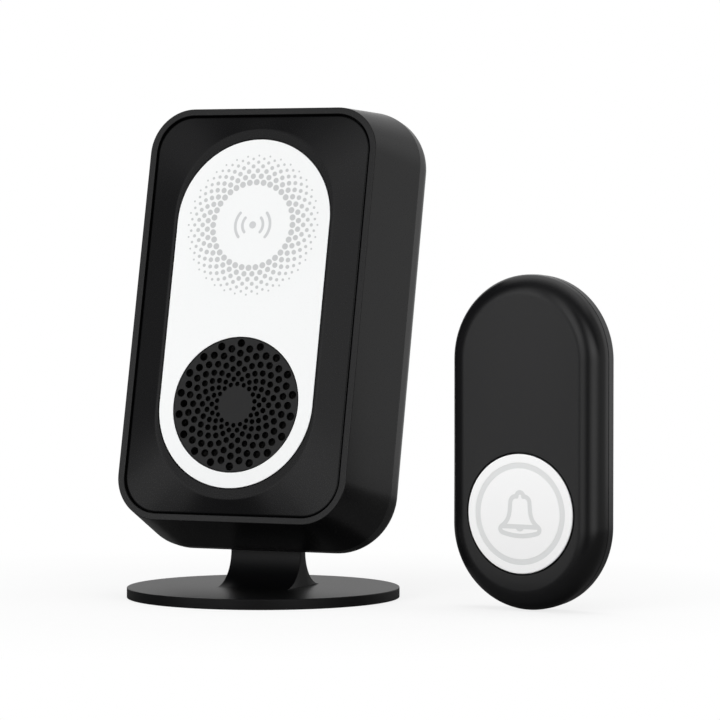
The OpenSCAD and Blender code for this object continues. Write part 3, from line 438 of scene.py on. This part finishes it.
def stroke(name, points, width, z, stand, closed=False):
    """A printed line: a flat band of that width along its middle line. Where it is open its ends are nearly
    half round, in 6 steps from 80 degrees, so that no end comes to a point."""
    along = np.roll(points, -1, 0) - np.roll(points, 1, 0)
    half = np.full(len(points), width / 2)
    if not closed:
        along[[0, -1]] = points[[1, -1]] - points[[0, -2]]
        turn = np.linspace(np.radians(80), 0, 6)[:, None]
        head = points[0] - width / 2 * np.sin(turn) * unit(along[0])
        tail = (points[-1] + width / 2 * np.sin(turn) * unit(along[-1]))[::-1]
        ends = width / 2 * np.cos(turn[:, 0])
        points = np.concatenate([head, points, tail])
        half = np.concatenate([ends, half, ends[::-1]])
        along = np.concatenate([np.tile(along[0], (len(turn), 1)), along, np.tile(along[-1], (len(turn), 1))])
    side = half[:, None] * unit(np.stack([-along[:, 1], along[:, 0]], -1))
    rims = [at_height(points + side, z - print_sunk), at_height(points + side, z + print_proud),
            at_height(points - side, z + print_proud), at_height(points - side, z - print_sunk)]
    return skin(name, stand(np.stack(rims, 1)), closed)


sign_middle = np.array([0, light_y])
sweep = np.linspace(-arc_half, arc_half, 24)
waves = [sign_middle + r * np.stack([side * np.cos(sweep), np.sin(sweep)], -1)
         for r in arc_radii for side in (-1, 1)]
sign_profile = [(0, plateau_rise - print_sunk), (0, plateau_rise + print_proud)]
sign = skin("call_sign", in_receiver(carried(circle_path(sign_dot_r, *sign_middle), sign_profile)))
joined(sign, *[stroke("wave", wave, sign_line, plateau_rise, in_receiver) for wave in waves])
# Pad-printing ink: a flat, even grey with a low sheen.
print_grey = moulded("pad_print_grey", "#c2c3c5", "#c8c9ca", 0.45, ior=1.49, flow=10 * mm)
place_piece(sign, print_grey, "receiver", "panel_white")

# Speaker
# Behind the perforated grille of black ABS lie a foam gasket, a lacquered steel basket, a paper cone and a
# ferrite magnet. Three blackened screws clamp the basket's flange to the fascia.


def metal(name, dark, light, roughness, grain=0.5 * mm, stretch=1.0):
    """A metal with a rolled, turned or plated finish: its tone and gloss vary over grains that may be drawn
    out along z."""
    material = bpy.data.materials.new(name)
    tree = blank(material)
    place = add(tree, "ShaderNodeTexCoord", {}).outputs["Object"]
    drawn = add(tree, "ShaderNodeMapping", {"Vector": place, "Scale": (1.0, 1.0, 1 / stretch)})
    grains = add(tree, "ShaderNodeTexNoise", {"Vector": drawn.outputs["Vector"], "Scale": 1 / grain,
                                              "Detail": 3.0})
    tone = add(tree, "ShaderNodeMix", {0: grains.outputs["Fac"], 6: linear(dark), 7: linear(light)},
               data_type="RGBA")
    gloss = add(tree, "ShaderNodeMapRange", {"Value": grains.outputs["Fac"], "From Min": 0.3, "From Max": 0.7,
                                             "To Min": roughness - 0.05, "To Max": roughness + 0.05})
    shader = add(tree, "ShaderNodeBsdfPrincipled",
                 {"Base Color": tone.outputs[2], "Roughness": gloss.outputs["Result"], "Metallic": 1.0})
    add(tree, "ShaderNodeOutputMaterial", {"Surface": shader.outputs["BSDF"]})
    return material


def dress(material, *names):
    """Gives CAD nodes a material in place of their plain one."""
    for name in names:
        nodes[name].data.materials.clear()
        nodes[name].data.materials.append(material)


# The grille is dull, so that its holes read black on dark grey, and foam and paper take no highlight.
grille_black = moulded("moulded_grille_black", "#0d0d0e", "#111112", 0.4)
foam_black = moulded("closed_cell_foam_black", "#191919", "#242424", 0.9, grain=0.6 * mm, depth=0.05 * mm)
basket_black = moulded("lacquered_steel_black", "#0d0d0e", "#111112", 0.45, flow=6 * mm)
cone_paper = moulded("pressed_paper_black", "#131313", "#1b1a19", 0.85, grain=0.4 * mm, depth=0.02 * mm)
magnet_ferrite = moulded("sintered_ferrite_grey", "#333438", "#42434a", 0.6, grain=0.4 * mm, depth=0.01 * mm)
# Rolled sheet is a dull grey, zinc plating has a bright broken gloss, and black oxide a dark one.
sheet_steel = metal("rolled_sheet_steel", "#7c7f83", "#94979a", 0.4, stretch=6.0)
screw_steel = metal("zinc_plated_steel", "#b4b5b3", "#c6c7c4", 0.28)
screw_black = metal("black_oxide_steel", "#1b1b1c", "#242425", 0.45)
dress(grille_black, "speaker_grille")
dress(foam_black, "speaker_gasket", "foot_pad")
dress(basket_black, "speaker_basket")
dress(sheet_steel, "base_weight")
dress(cone_paper, "speaker_cone")
dress(magnet_ferrite, "speaker_magnet")
dress(screw_steel, "board_screws", "key_board_screws", "case_screws", "stand_screw", "back_screws")
dress(screw_black, "speaker_screws")

# Light and boards
# A frosted polycarbonate disc spreads the light of a ring of diodes on the green main board.
# Chips sit on the board's back, and the rear keys' switches and the button unit have boards of their own.
trace_pitch, trace_share, trace_t = 1.27 * mm, 0.3, 0.03 * mm


def laminate(name, mask, copper):
    """A circuit board: solder mask over copper traces, which show paler. A wave texture repeats every
    0.314 / scale, here once a pitch, and a noise as wide as 8 pitches bends its lines by up to 6."""
    material = bpy.data.materials.new(name)
    tree = blank(material)
    place = add(tree, "ShaderNodeTexCoord", {}).outputs["Object"]
    wander = add(tree, "ShaderNodeTexNoise", {"Vector": place, "Scale": 0.12 / trace_pitch, "Detail": 0.0})
    drift = add(tree, "ShaderNodeVectorMath", {0: wander.outputs["Color"], "Scale": 6 * trace_pitch},
                operation="SCALE")
    bent = add(tree, "ShaderNodeVectorMath", {0: place, 1: drift.outputs["Vector"]}, operation="ADD")
    lines = add(tree, "ShaderNodeTexWave", {"Vector": bent.outputs["Vector"], "Scale": 0.314 / trace_pitch,
                                            "Distortion": 0.0}, bands_direction="X")
    on = add(tree, "ShaderNodeMath", {0: lines.outputs["Fac"], 1: 1 - trace_share}, operation="GREATER_THAN")
    tone = add(tree, "ShaderNodeMix", {0: on.outputs["Value"], 6: linear(mask), 7: linear(copper)},
               data_type="RGBA")
    relief = add(tree, "ShaderNodeBump", {"Height": on.outputs["Value"], "Distance": trace_t})
    shader = add(tree, "ShaderNodeBsdfPrincipled", {"Base Color": tone.outputs[2], "Roughness": 0.3,
                                                    "IOR": 1.5, "Normal": relief.outputs["Normal"]})
    add(tree, "ShaderNodeOutputMaterial", {"Surface": shader.outputs["BSDF"]})
    return material


# The frosted disc is milky and half clear, the diodes creamy, the chips dull, and the boards glossy green.
diffuser_frosted = moulded("frosted_polycarbonate", "#e6eaec", "#eef1f2", 0.55, ior=1.58,
                           **{"Transmission Weight": 0.4})
led_resin = moulded("diode_resin_cream", "#efe9cf", "#f6f2e0", 0.3, ior=1.54)
chip_black = moulded("moulded_epoxy_black", "#1c1d20", "#25262a", 0.55)
board_green = laminate("solder_mask_green", "#14522b", "#1f7a42")
dress(diffuser_frosted, "light_diffuser")
dress(led_resin, "indicator_leds", "status_led")
dress(board_green, "main_board", "key_board", "remote_board")
dress(chip_black, "board_chips", "remote_chip", "key_switches", "call_switch")

# Batteries
# Three cells in shrink-wrapped jackets lie the other way up from one another in the bay, between
# nickel-plated contact strips and conical coil springs.
jacket_end = 17.5 * mm
# Nickel plating: a warm, bright gloss.
contact_plated = metal("nickel_plated_steel", "#c9c7bd", "#d8d6cc", 0.22)
# Printed shrink film: a glossy blue middle, and bare silver towards both ends.
cell_jacket = bpy.data.materials.new("shrink_film_blue_and_silver")
film = blank(cell_jacket)
film_place = add(film, "ShaderNodeTexCoord", {}).outputs["Object"]
bay_middle = in_receiver(np.array([0, bay_y, back_in_z + cell_d / 2]))
along_cell = add(film, "ShaderNodeVectorMath", {0: film_place, 1: tuple(bay_middle)}, operation="SUBTRACT")
length_wise = add(film, "ShaderNodeVectorMath",
                  {0: along_cell.outputs["Vector"], 1: (0, np.sin(lean), np.cos(lean))},
                  operation="DOT_PRODUCT")
far_out = add(film, "ShaderNodeMath", {0: length_wise.outputs["Value"]}, operation="ABSOLUTE")
is_end = add(film, "ShaderNodeMath", {0: far_out.outputs["Value"], 1: jacket_end}, operation="GREATER_THAN")
film_tone = add(film, "ShaderNodeMix",
                {0: is_end.outputs["Value"], 6: linear("#2f5f8f"), 7: linear("#b9bcc0")}, data_type="RGBA")
film_shader = add(film, "ShaderNodeBsdfPrincipled", {"Base Color": film_tone.outputs[2], "Roughness": 0.28,
                                                     "Metallic": is_end.outputs["Value"], "IOR": 1.5})
add(film, "ShaderNodeOutputMaterial", {"Surface": film_shader.outputs["BSDF"]})
dress(cell_jacket, "battery_cells")
dress(contact_plated, "battery_contacts", "battery_springs", "cell_contact")

# Rear keys and battery cover
# Two dished keys for loudness and chime stand a little proud of the back, and a flush ABS plate with a
# thumb hollow closes the battery bay.
# Satin ABS: a shade lighter than the case, so that the keys stand out.
key_black = moulded("satin_key_black", "#161617", "#1b1b1c", 0.3)
dress(key_black, "volume_key", "melody_key")
dress(housing_black, "battery_cover")

# Stand
# A round ABS base with a blade neck, moulded in one piece. The neck swells into the base in concave feet in
# front and behind, leans back and plugs into the rear cover.
base_d, base_t, pad_proud, base_rim, base_roof = 70.5 * mm, 2.5 * mm, 0.2 * mm, 3 * mm, 1 * mm
base_top, skirt_z, flat_top_in = pad_proud + base_t, 0.04 * mm, 1 * mm
neck_w, neck_t, neck_r = 20 * mm, 3 * mm, 0.3 * mm
neck_flare, neck_back, neck_top = 9.2 * mm, 3 * mm, 12.2 * mm
base_profile = [(-base_rim, base_top - base_roof), (-base_rim, skirt_z), (0, skirt_z), (0, base_top),
                (-flat_top_in, base_top)]
base_bends = np.array([0, 0.2, 0.22]) * mm
stand = skin("stand_body", softened(carried(circle_path(base_d / 2, count=192), base_profile), base_bends))
turn = np.linspace(0, np.pi / 2, 28)
neck_swell = np.concatenate([neck_flare * (1 - np.sin(turn)), [0, 0]])
neck_z = np.concatenate([base_top + neck_flare * (1 - np.cos(turn)),
                         [neck_top, neck_top + tongue_l * np.cos(lean)]])
neck_y = np.concatenate([np.full(len(turn) + 1, neck_back), [neck_back + tongue_l * np.sin(lean)]])
neck_rings = np.array([at_height(shifted(round_path(neck_w, neck_t + 2 * swell, neck_r, 6, 2), 0, y)[0], z)
                       for swell, y, z in zip(neck_swell, neck_y, neck_z)])
joined(stand, skin("neck", neck_rings))
# Satin ABS: the deepest black, with a broad dull sheen that spreads over the base.
stand_black = moulded("satin_stand_black", "#060607", "#080809", 0.42, **{"Specular IOR Level": 0.35})
place_piece(stand, stand_black, "receiver", "stand_black", "stand")

# Button unit
# The oblong front shell of the call button, moulded in black ABS with a fully rounded front edge. Its round
# opening takes the push button.
remote_w, remote_h, remote_t = 42.7 * mm, 83.8 * mm, 10.1 * mm
remote_edge, remote_wall, plate_t, plate_rim = 5.2 * mm, 1.6 * mm, 1.7 * mm, 1.9 * mm
button_d, button_low, button_gap = 30 * mm, 17.6 * mm, 0.32 * mm
hole_bend = 0.12 * mm
yaw = np.radians(8.24)
plate_z = plate_t - remote_t
parting_z = plate_z + plate_rim
board_middle_z = -4.5 * mm
board_middle = np.mean(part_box("remote_board"), axis=0)


def in_remote(points):
    """Stands face-up points beside the receiver: y becomes height and z comes forward, turned by the yaw."""
    x, y, z = np.moveaxis(points, -1, 0)
    back = board_middle_z - z
    turned = np.stack([x * np.cos(yaw) + back * np.sin(yaw), back * np.cos(yaw) - x * np.sin(yaw), y], -1)
    return turned + board_middle


flat_w, flat_h = remote_w - 2 * remote_edge, remote_h - 2 * remote_edge
flat_path = round_path(flat_w, flat_h, remote_w / 2 - remote_edge, 64, 40)
button_middle = np.array([0, -button_low])
button_hole = button_middle + (button_d / 2 + button_gap) * unit(flat_path[0] - button_middle)
inner_edge = remote_edge - remote_wall
front_bow = np.linspace(0, np.pi / 2, 20)
bow_out, bow_back = np.sin(front_bow), np.cos(front_bow) - 1
shell_outside = carried(flat_path, np.stack([remote_edge * bow_out, remote_edge * bow_back], -1))
shell_inside = carried(flat_path, np.stack([inner_edge * bow_out, inner_edge * bow_back - remote_wall], -1))
hole_rings = [at_height(button_hole, -remote_wall), at_height(button_hole, 0)]
shell_rings = np.concatenate([hole_rings, shell_outside,
                              carried(flat_path, [(remote_edge, parting_z), (inner_edge, parting_z)]),
                              shell_inside[::-1]])
shell_bends = np.zeros(len(shell_rings))
shell_bends[1] = hole_bend
shell_bends[len(shell_outside) + 2] = parting_bend
shell = skin("unit_shell", in_remote(softened(shell_rings, shell_bends, closed=True)), closed=True)
# Smooth ABS: black, with a clear sheen along the rounded edge.
unit_black = moulded("moulded_unit_black", "#101011", "#121213", 0.24)
place_piece(shell, unit_black, "button_unit", "unit_black", "remote_shell")

# Back plate
# A shallow oblong ABS tray that closes the button unit, with a fine joint where it meets the shell. Its rim
# tapers back with the mould's draft, and it has two holes for wall screws and two sunk screws of its own.
plate_edge, plate_draft, plate_flat_in = 0.6 * mm, 0.21 * mm, 0.5 * mm
joint_w, joint_deep = 0.25 * mm, 0.5 * mm
wall_hole_d, wall_hole_pitch = 3.5 * mm, 66 * mm
back_screw_x, back_screw_y = remote_w / 2 - 6.6 * mm, 1 * mm
back_head_r, back_head_t = 1.9 * mm, 0.9 * mm
unit_path = round_path(remote_w, remote_h, remote_w / 2, 64, 32)
plate_profile = [(-plate_edge - plate_flat_in, -remote_t), (-plate_edge, -remote_t),
                 (-plate_draft, plate_edge - remote_t), (0, parting_z - joint_w),
                 (-joint_deep, parting_z - joint_w), (-joint_deep, parting_z),
                 (-joint_deep - plate_flat_in, parting_z)]
plate_bends = np.array([0.2, 0.2, 0.04, 0, 0]) * mm
plate = skin("unit_back", in_remote(softened(carried(unit_path, plate_profile), plate_bends)))
back_under, head_floor_z = -remote_t - over, back_head_t - remote_t
cut(plate, *[drilled(wall_hole_d / 2, back_under, plate_z, 0, side * wall_hole_pitch / 2, in_remote)
             for side in (-1, 1)],
    *[drilled(back_head_r, back_under, head_floor_z, side * back_screw_x, back_screw_y, in_remote)
      for side in (-1, 1)])
# Plain ABS: a greyer black than the shell, so that the plate's rim reads as a pale strip.
plate_black = moulded("moulded_plate_black", "#2e2e2f", "#323233", 0.3)
place_piece(plate, plate_black, "button_unit", "plate_black", "back_plate")

# Push button
# A white ABS disc with a sunk ring, which moves in the shell's opening with a fine joint round it,
# where painted shade turns its side black.
# Its flange stops behind the shell, over a silicone ring and the switch.
button_proud, ring_out_r, ring_in_r, ring_deep = 0.2 * mm, 12.75 * mm, 11.325 * mm, 0.25 * mm
flange_z, flange_t, flange_r = -1.7 * mm, 0.8 * mm, button_d / 2 + 1.2 * mm
ring_floor_z, ring_face_z = button_proud - ring_deep, button_proud - 0.04 * mm
cap_back_z, cap_flat_in, cap_r = -1.3 * mm, 0.5 * mm, button_d / 2 - 0.08 * mm
skirt_in_r, button_shade_depth = button_d / 2 - 1.8 * mm, 0.15 * mm
cap_profile = [(ring_in_r - cap_flat_in, button_proud), (ring_in_r, button_proud), (ring_in_r, ring_floor_z),
               (ring_out_r, ring_floor_z), (ring_out_r, button_proud), (cap_r, button_proud),
               (cap_r, flange_z), (flange_r, flange_z), (flange_r, flange_z - flange_t),
               (skirt_in_r, flange_z - flange_t), (skirt_in_r, cap_back_z)]
cap_bends = np.array([0.08, 0, 0, 0.08, 0.3, 0, 0, 0, 0]) * mm
cap_path = circle_path(0, *button_middle, count=128)
button = skin("button_cap", in_remote(softened(carried(cap_path, cap_profile), cap_bends)))
# White ABS: bright and neutral, with a soft gloss.
button_white = moulded("moulded_abs_white", "#f8f8f8", "#fbfbfb", 0.35)
unit_out = np.array([-np.sin(yaw), -np.cos(yaw), 0])
# Painted shade: the button's side turns black below its face, down in the joint.
painted_joint_shade(button_white, in_remote(np.array([0, -button_low, 0])), unit_out, button_shade_depth)
place_piece(button, button_white, "push_button", "button_white", "call_button")
ring_profile = [(ring_in_r, ring_floor_z), (ring_in_r, ring_face_z), (ring_out_r, ring_face_z),
                (ring_out_r, ring_floor_z)]
ring = skin("button_ring", in_remote(carried(cap_path, ring_profile)), closed=True)
# The ring's insert is a light grey, the switch's stem tan, and the silicone dull and pale.
ring_grey = moulded("moulded_ring_grey", "#dfe0e0", "#e3e4e4", 0.4)
stem_tan = moulded("moulded_stem_tan", "#cdbb8e", "#d6c69d", 0.45)
silicone_grey = moulded("silicone_rubber_grey", "#cfd1d2", "#d6d8d9", 0.6)
place_piece(ring, ring_grey, "push_button", "button_white")
dress(stem_tan, "switch_plunger")
dress(silicone_grey, "button_pad")

# Bell sign
# A plain outlined bell, pad printed in grey in the middle of the button: its line rises over the shoulders
# into a small knob, and a lip with a bowed underside and a clapper closes it below.
bell_line, bell_top, knob_r = 1.15 * mm, 5.4 * mm, 0.95 * mm
dome_x, dome_r, dome_y = 1.1 * mm, 1.65 * mm, bell_top - 1 * mm
side_spread, side_curl, curl_power = 0.4 * mm, 2.1 * mm, 4
lip_half, lip_y, lip_h, lip_bow = 5.6 * mm, -3.15 * mm, 1.35 * mm, 0.95 * mm
clapper_r, clapper_line, ink_layer = 0.85 * mm, 0.7 * mm, 0.006 * mm
# The knob and the shoulder are arcs, the side is a straight line plus a power curve, and the lip is an oblong
# whose lower half is bowed by a parabola.
knob_a, dome_a = np.radians(np.linspace(95, -95, 32)), np.radians(np.linspace(0, 90, 24))
fall = np.linspace(0.04, 1, 50)
knob = np.stack([knob_r * np.sin(knob_a), bell_top - knob_r * (1 - np.cos(knob_a))], -1)
dome = np.stack([dome_x + dome_r * np.sin(dome_a), dome_y - dome_r * (1 - np.cos(dome_a))], -1)
bell_flare = np.stack([dome_x + dome_r + side_spread * fall + side_curl * fall ** curl_power,
                       dome_y - dome_r + (lip_y - dome_y + dome_r) * fall], -1)
bell_side = np.concatenate([dome, bell_flare])
bell_lip = shifted(round_path(2 * lip_half, lip_h, lip_h / 2, 12, 24), 0, lip_y - lip_h / 2)[0]
below = bell_lip[:, 1] < lip_y - lip_h / 2
bell_lip[:, 1] -= below * lip_bow * (1 - (bell_lip[:, 0] / lip_half) ** 2)
clapper_a = np.linspace(np.pi, 2 * np.pi, 16)
clapper = np.array([0, lip_y]) + clapper_r * np.stack([np.cos(clapper_a), np.sin(clapper_a)], -1)
over_sides = button_proud + ink_layer
bell = stroke("bell_sign", button_middle + bell_side[::-1], bell_line, button_proud, in_remote)
joined(bell, stroke("left_side", button_middle + bell_side * [-1, 1], bell_line, button_proud, in_remote),
       stroke("knob", button_middle + knob, bell_line, over_sides, in_remote),
       stroke("lip", button_middle + bell_lip, bell_line, over_sides, in_remote, closed=True),
       stroke("clapper", button_middle + clapper, clapper_line, over_sides + ink_layer, in_remote))
# Pad-printing ink: a faint, even grey on the white.
bell_grey = moulded("pad_print_bell_grey", "#dcdddd", "#dfe0e0", 0.45)
place_piece(bell, bell_grey, "push_button", "button_white")

# Coin cell
# A stainless steel coin cell behind the button unit's board.
# It lies in a moulded collar of black nylon, which is open on one side.
# The steel is bright and even, and the nylon dull.
coin_steel = metal("stainless_steel", "#bcbec0", "#cbcdcf", 0.25)
holder_black = moulded("moulded_nylon_black", "#1c1c1e", "#232325", 0.5)
dress(coin_steel, "coin_cell")
dress(holder_black, "cell_holder")

# Counter
# A pale matt laminate, which runs into an even white surround away from the object and keeps its shadow near
# it. Mirror images show it as grey, and clear in front, so that the black pieces stay deep.
counter_half = 0.32
white_from, white_to, near_white = 0.085, 0.15, 0.78
clear_from, clear_to = -0.04, -0.07
counter_mesh = bpy.data.meshes.new("counter")
counter_corners = np.array([(-1, -1, 0), (1, -1, 0), (1, 1, 0), (-1, 1, 0)]) * counter_half
counter_mesh.from_pydata(counter_corners.tolist(), [], [(0, 1, 2, 3)])
counter = bpy.data.objects.new("counter", counter_mesh)
bpy.context.collection.objects.link(counter)


def seen_directly(tree, rays):
    """1 for a ray from the camera or through clear plastic, and 0 for any other."""
    either = add(tree, "ShaderNodeMath", {0: rays.outputs["Is Camera Ray"],
                                          1: rays.outputs["Is Transmission Ray"]}, operation="MAXIMUM")
    return either.outputs[0]


counter_pale = bpy.data.materials.new("matt_laminate_white")
tree = blank(counter_pale)
rays = add(tree, "ShaderNodeLightPath", {})
spot = add(tree, "ShaderNodeTexCoord", {}).outputs["Object"]
matt = add(tree, "ShaderNodeBsdfDiffuse", {"Color": linear("#f6f6f6")})
glow = add(tree, "ShaderNodeEmission", {"Color": linear("#ffffff")})
reach = add(tree, "ShaderNodeVectorMath", {0: spot}, operation="LENGTH")
fade = add(tree, "ShaderNodeMapRange", {"Value": reach.outputs["Value"], "From Min": white_from,
                                        "From Max": white_to, "To Min": near_white, "To Max": 1.0})
lit = add(tree, "ShaderNodeMixShader", {0: fade.outputs["Result"], 1: matt.outputs[0], 2: glow.outputs[0]})
shade = add(tree, "ShaderNodeBsdfDiffuse", {"Color": linear("#666666")})
clear = add(tree, "ShaderNodeBsdfTransparent", {})
depth = add(tree, "ShaderNodeSeparateXYZ", {0: spot})
ahead = add(tree, "ShaderNodeMapRange", {"Value": depth.outputs["Y"], "From Min": clear_from,
                                         "From Max": clear_to})
cleared = add(tree, "ShaderNodeMath", {0: ahead.outputs["Result"], 1: rays.outputs["Is Glossy Ray"]},
              operation="MULTIPLY")
unseen = add(tree, "ShaderNodeMixShader", {0: cleared.outputs[0], 1: shade.outputs[0], 2: clear.outputs[0]})
by_ray = add(tree, "ShaderNodeMixShader", {0: seen_directly(tree, rays), 1: unseen.outputs[0],
                                           2: lit.outputs[0]})
add(tree, "ShaderNodeOutputMaterial", {"Surface": by_ray.outputs[0]})
counter_mesh.materials.append(counter_pale)

# Studio
# A ring of soft panels with dark gaps between them and a dim ceiling in front, which the black pieces mirror.
# Two lamps, in front and overhead, light the white pieces and the counter.
camera_azimuth = np.radians(23.935)
backdrop_full, backdrop_end = np.radians(11), np.radians(20)
ground_level = 0.15
# Brightness of the panels by bearing in degrees, from behind over the left, front and right to behind.
panel_stops = ((-180, 0.6), (-128, 0.6), (-116, 0.05), (-62, 0.04), (-54, 0.12), (-49, 0.3), (-45, 0.55),
               (-40, 0.9), (-35, 0.9), (-31, 0.6), (-27, 0.25), (-23, 0.25), (-18, 0.8), (-5, 0.92),
               (4, 0.66), (10, 0.35), (16, 0.14), (22, 0.1), (28, 0.22), (33, 0.38), (44, 1.0), (56, 1.2),
               (67, 1.05), (80, 0.6), (93, 0.4), (107, 0.42), (124, 0.4), (135, 0.4), (148, 0.75),
               (158, 0.45), (176, 0.6))
# Share of that brightness higher up, by the angle from the front horizon over the top to the back.
# The ceiling takes this level alone.
ceiling_stops = ((0, 1.0), (6, 1.4), (18, 1.4), (25, 1.2), (34, 1.0), (43, 0.75), (50, 0.35), (58, 0.14),
                 (77, 0.1), (84, 0.2), (91, 0.35), (99, 0.5), (107, 0.6), (117, 0.75), (140, 0.8), (180, 1.0))


def ramp(tree, value, low, high, stops):
    """Brightness along an angle between two limits, from stops that each give degrees and a level."""
    share = add(tree, "ShaderNodeMapRange", {"Value": value, "From Min": np.radians(low),
                                             "From Max": np.radians(high)})
    node = add(tree, "ShaderNodeValToRGB", {"Fac": share.outputs["Result"]})
    elements = node.color_ramp.elements
    elements.remove(elements[1])
    for at, level in stops:
        where = (at - low) / (high - low)
        element = elements[0] if at == low else elements.new(where)
        element.position, element.color = where, (level, level, level, 1.0)
    return node.outputs["Color"]


world = bpy.data.worlds.new("studio")
bpy.context.scene.world = world
tree = blank(world)
rays = add(tree, "ShaderNodeLightPath", {})
direction = add(tree, "ShaderNodeTexCoord", {}).outputs["Generated"]
way = add(tree, "ShaderNodeSeparateXYZ", {0: direction})
up = way.outputs["Z"]
front = add(tree, "ShaderNodeMath", {0: way.outputs["Y"], 1: -1.0}, operation="MULTIPLY")
bearing = add(tree, "ShaderNodeMath", {0: way.outputs["X"], 1: front.outputs[0]}, operation="ARCTAN2")
pitch = add(tree, "ShaderNodeMath", {0: up, 1: front.outputs[0]}, operation="ARCTAN2")
panels = ramp(tree, bearing.outputs[0], -180, 180, panel_stops)
ceiling = ramp(tree, pitch.outputs[0], 0, 180, ceiling_stops)
# The panels stand on the horizon, take the ceiling's share above it, and give way to the ceiling at the
# top and to the dim ground below.
height = add(tree, "ShaderNodeMapRange", {"Value": up, "From Min": 0.03, "From Max": 0.15})
roof = add(tree, "ShaderNodeMix", {0: height.outputs["Result"], 6: linear("#ffffff"), 7: ceiling},
           data_type="RGBA")
raised = add(tree, "ShaderNodeMix", {0: 1.0, 6: panels, 7: roof.outputs[2]}, data_type="RGBA",
             blend_type="MULTIPLY")
top = add(tree, "ShaderNodeMapRange", {"Value": up, "From Min": 0.65, "From Max": 0.8})
room = add(tree, "ShaderNodeMix", {0: top.outputs["Result"], 6: raised.outputs[2], 7: ceiling},
           data_type="RGBA")
ground = add(tree, "ShaderNodeMapRange", {"Value": up, "From Min": -0.2, "From Max": -0.1,
                                          "To Min": ground_level})
studio = add(tree, "ShaderNodeMix", {0: 1.0, 6: room.outputs[2], 7: ground.outputs["Result"]},
             data_type="RGBA", blend_type="MULTIPLY")
# Plain white for the camera and through clear plastic, and in mirror images of the backdrop.
straight_back = (-np.sin(camera_azimuth), np.cos(camera_azimuth), 0)
from_axis = add(tree, "ShaderNodeVectorMath", {0: direction, 1: straight_back}, operation="DOT_PRODUCT")
backdrop = add(tree, "ShaderNodeMapRange", {"Value": from_axis.outputs["Value"],
                                            "From Min": np.cos(backdrop_end),
                                            "From Max": np.cos(backdrop_full)})
mirrored = add(tree, "ShaderNodeMath", {0: backdrop.outputs["Result"], 1: rays.outputs["Is Glossy Ray"]},
               operation="MULTIPLY")
plain = add(tree, "ShaderNodeMath", {0: seen_directly(tree, rays), 1: mirrored.outputs[0]},
            operation="MAXIMUM")
view = add(tree, "ShaderNodeMix", {0: plain.outputs[0], 6: studio.outputs[2], 7: linear("#ffffff")},
           data_type="RGBA")
surround = add(tree, "ShaderNodeBackground", {"Color": view.outputs[2], "Strength": 1.0})
add(tree, "ShaderNodeOutputWorld", {"Surface": surround.outputs[0]})


def lamp(name, place, aim, size, energy):
    """A square lamp at a place, turned towards its aim, which lights matt surfaces and isn't mirrored."""
    data = bpy.data.lights.new(name, "AREA")
    data.energy, data.size = energy, size
    obj = bpy.data.objects.new(name, data)
    x, y, z = np.array(aim) - place
    obj.location = place
    obj.rotation_euler = (np.arctan2(np.hypot(x, y), -z), 0, np.arctan2(-x, y))
    obj.visible_camera = obj.visible_glossy = False
    bpy.context.collection.objects.link(obj)


lamp("soft_box_front", place=(-0.5, -1.2, 0.25), aim=(0.03, 0, 0.05), size=0.8, energy=13)
lamp("soft_box_overhead", place=(0.05, 0.0, 1.3), aim=(0.05, 0, 0), size=1.0, energy=9.4)

# Camera
# Placed by the photograph's view: 24 degrees round to the right and 2 degrees above the counter.
camera_elevation, camera_distance = np.radians(1.966), 977.5 * mm
camera_target = np.array([27.361, 0, 61.664]) * mm
toward_camera = np.array([np.sin(camera_azimuth) * np.cos(camera_elevation),
                          -np.cos(camera_azimuth) * np.cos(camera_elevation), np.sin(camera_elevation)])
camera_data = bpy.data.cameras.new("camera")
camera_data.sensor_width = 36
camera_data.lens = 191.52
camera = bpy.data.objects.new("camera", camera_data)
camera.location = camera_target + camera_distance * toward_camera
camera.rotation_euler = (np.pi / 2 - camera_elevation, 0, camera_azimuth)
bpy.context.collection.objects.link(camera)
bpy.context.scene.camera = camera
bpy.context.scene.view_settings.view_transform = "Standard"
